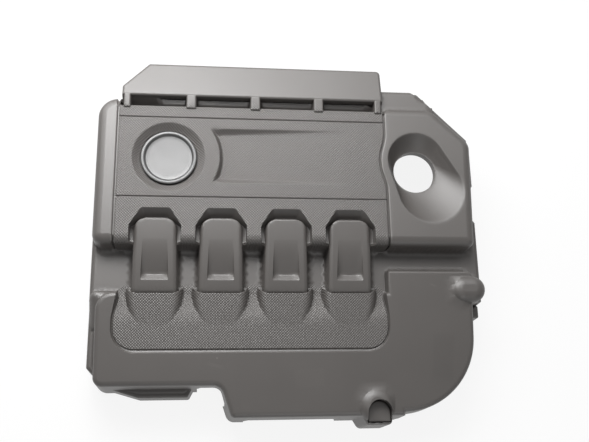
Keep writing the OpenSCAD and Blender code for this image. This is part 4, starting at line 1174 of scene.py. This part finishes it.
def wearAndSheenShade(tree, place):
    # 1 plus the brightness change of every mark, each a box with soft edges: wear marks, with a painted sheen on the
    # first box.
    total = 1.0
    for x, y, length, width, turn, soft, change in wearAndSheenMarks:
        local = addNode(tree, "Mapping", [("Location", (x / mm, y / mm, 0)), ("Rotation", (0, 0, math.radians(turn))),
                                          ("Scale", (length / mm, width / mm, 1))], [("Vector", place)],
                        vector_type="TEXTURE").outputs["Vector"]
        axes = addNode(tree, "SeparateXYZ", (), [("Vector", local)])
        away = mathNode(tree, "MAXIMUM", *[mathNode(tree, "ABSOLUTE", axes.outputs[axis]) for axis in ("X", "Y")])
        share = addNode(tree, "MapRange", [("From Min", 1.0), ("From Max", 1.0 - soft), ("To Max", change)],
                        [("Value", away)]).outputs["Result"]
        total = mathNode(tree, "ADD", share, total)
    return total


def coverPlastic():
    p = plastic
    material, tree, shader = newMaterial("cover_plastic")
    place = addNode(tree, "TexCoord").outputs["Object"]
    clouds = addNode(tree, "TexNoise", [("Scale", 14.0), ("Detail", 4.0)], [("Vector", place)]).outputs["Fac"]
    tint = addNode(tree, "Mix", [("A", p["dark"]), ("B", p["light"])], data_type="RGBA")
    tree.links.new(clouds, tint.inputs["Factor"])
    # Base colour brightness changed by the wear marks and by the painted sheen patch
    shaded = addNode(tree, "HueSaturation", (), [("Value", wearAndSheenShade(tree, place)), ("Color", tint.outputs["Result"])])
    tree.links.new(shaded.outputs["Color"], shader.inputs["Base Color"])
    rough = addNode(tree, "MapRange", [("To Min", p["rough"][0]), ("To Max", p["rough"][1])], [("Value", clouds)])
    tree.links.new(rough.outputs["Result"], shader.inputs["Roughness"])
    shader.inputs["Specular IOR Level"].default_value = p["gloss"]
    grain = addNode(tree, "TexNoise", [("Scale", p["grainSize"]), ("Detail", 2.0)], [("Vector", place)])
    fine = addNode(tree, "Bump", [("Strength", 0.6), ("Distance", p["grainDepth"])],
                   [("Height", grain.outputs["Fac"])])
    axes = addNode(tree, "SeparateXYZ", (), [("Vector", place)])
    waves = [mathNode(tree, "COSINE", mathNode(tree, "MULTIPLY", axes.outputs[axis], math.tau / p["weave"]))
             for axis in ("X", "Y")]
    weave = mathNode(tree, "MULTIPLY", mathNode(tree, "MULTIPLY", *waves),
                     addNode(tree, "Attribute", attribute_name="grain").outputs["Fac"])
    woven = addNode(tree, "Bump", [("Strength", 1.0), ("Distance", p["weaveDepth"])],
                    [("Height", weave), ("Normal", fine.outputs["Normal"])])
    tree.links.new(woven.outputs["Normal"], shader.inputs["Normal"])
    return material


def badgeMetal():
    material, tree, shader = newMaterial("badge_metal")
    place = addNode(tree, "TexCoord").outputs["Object"]
    clouds = addNode(tree, "TexNoise", [("Scale", 60.0), ("Detail", 3.0)], [("Vector", place)]).outputs["Fac"]
    rough = addNode(tree, "MapRange", [("To Min", 0.36), ("To Max", 0.44)], [("Value", clouds)])
    tree.links.new(rough.outputs["Result"], shader.inputs["Roughness"])
    shader.inputs["Base Color"].default_value = (0.09, 0.09, 0.09, 1)
    shader.inputs["Metallic"].default_value = 0.85
    return material


def socketRubber():
    material, tree, shader = newMaterial("socket_rubber")
    place = addNode(tree, "TexCoord").outputs["Object"]
    clouds = addNode(tree, "TexNoise", [("Scale", 250.0), ("Detail", 3.0)], [("Vector", place)]).outputs["Fac"]
    rough = addNode(tree, "MapRange", [("To Min", 0.6), ("To Max", 0.8)], [("Value", clouds)])
    tree.links.new(rough.outputs["Result"], shader.inputs["Roughness"])
    bump = addNode(tree, "Bump", [("Strength", 0.4), ("Distance", 0.0002)], [("Height", clouds)])
    tree.links.new(bump.outputs["Normal"], shader.inputs["Normal"])
    shader.inputs["Base Color"].default_value = (0.025, 0.025, 0.025, 1)
    return material


# Camera, floor and light

view = {"place": (-107.5, -251.1, 1081.0), "right": (0.99413, -0.01683, 0.10684), "up": (-0.01227, 0.96391, 0.26594),
        "back": (-0.10746, -0.26569, 0.95805), "lens": 45.84}
studio = {"floor": 0.88, "white": 0.88, "sky": 0.18, "gloss": 0.45}
# Each lamp: compass angle from +X, angle above the floor, distance and size in metres, watts.
lamps = {
    "window": (125, 50, 0.9, 0.4, 5.4),
    "window_high": (100, 58, 1.6, 0.7, 8.0),
    "window_low": (135, 25, 1.6, 0.7, 7.0),
    "rear": (95, 45, 1.6, 0.7, 10.0),
    "right": (50, 45, 1.6, 0.7, 2.8),
    "front": (-80, 30, 1.6, 0.7, 3.0),
}


def addCamera():
    data = bpy.data.cameras.new("camera")
    data.lens, data.sensor_width = view["lens"], 36.0
    eye = bpy.data.objects.new("camera", data)
    turn = Matrix((view["right"], view["up"], view["back"])).transposed()
    eye.matrix_world = Matrix.Translation(Vector(view["place"]) / mm) @ turn.to_4x4()
    bpy.context.scene.collection.objects.link(eye)
    bpy.context.scene.camera = eye


def seenShare(tree, gloss):
    # 1 where the camera looks straight or through glass, and the given share in reflections.
    path = addNode(tree, "LightPath")
    glossy = mathNode(tree, "MULTIPLY", path.outputs["Is Glossy Ray"], gloss)
    return mathNode(tree, "MAXIMUM", path.outputs["Is Camera Ray"],
                    mathNode(tree, "MAXIMUM", glossy, path.outputs["Is Transmission Ray"]))


def addFloor():
    # The camera and reflections see the floor nearer to white, with the cover's shadow kept.
    half = 3000.0
    floor = addMesh("floor", [(-half, -half, 0), (half, -half, 0), (half, half, 0), (-half, half, 0)], [[0, 1, 2, 3]])
    material, tree, shader = newMaterial("floor")
    tone = studio["floor"]
    shader.inputs["Base Color"].default_value = (tone, tone, tone, 1)
    shader.inputs["Roughness"].default_value = 0.9
    white = addNode(tree, "Emission", [("Strength", 1.0), ("Color", (1, 1, 1, 1))])
    share = mathNode(tree, "MULTIPLY", seenShare(tree, 1.0), studio["white"])
    mixed = addNode(tree, "MixShader", (), [("Fac", share), (1, shader.outputs["BSDF"]), (2, white.outputs["Emission"])])
    tree.links.new(mixed.outputs["Shader"], tree.nodes["Material Output"].inputs["Surface"])
    floor.data.materials.append(material)


def addLight():
    world = bpy.data.worlds.new("studio")
    world.use_nodes = True
    tree = world.node_tree
    sky = tree.nodes["Background"]
    sky.inputs["Color"].default_value = (1, 1, 1, 1)
    share = mathNode(tree, "MAXIMUM", seenShare(tree, studio["gloss"]), studio["sky"])
    tree.links.new(share, sky.inputs["Strength"])
    bpy.context.scene.world = world
    for name, (turn, rise, distance, size, power) in lamps.items():
        data = bpy.data.lights.new(name, "AREA")
        data.shape, data.size, data.energy = "SQUARE", size, power
        lamp = bpy.data.objects.new(name, data)
        a, e = math.radians(turn), math.radians(rise)
        place = Vector((math.cos(e) * math.cos(a), math.cos(e) * math.sin(a), math.sin(e))) * distance
        lamp.location = place
        lamp.rotation_euler = place.to_track_quat("Z", "Y").to_euler()
        bpy.context.scene.collection.objects.link(lamp)


addCamera()
addFloor()
addLight()
bpy.context.scene.view_settings.view_transform = "Standard"

cover = addCover()
cover.data.materials.clear()
cover.data.materials.append(coverPlastic())
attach(cover, "root")
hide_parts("cover")

stage("adding the badge and the sockets")
roundBadge = addBadge()
roundBadge.data.materials.clear()
roundBadge.data.materials.append(badgeMetal())
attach(roundBadge, "root")
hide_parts("badge")
rubber = socketRubber()
for name in ("grommet_rear_left", "grommet_rear_right", "grommet_right", "grommet_front"):
    node = bpy.data.objects[name]
    for slot in node.material_slots:
        slot.link = "OBJECT"
        slot.material = rubber
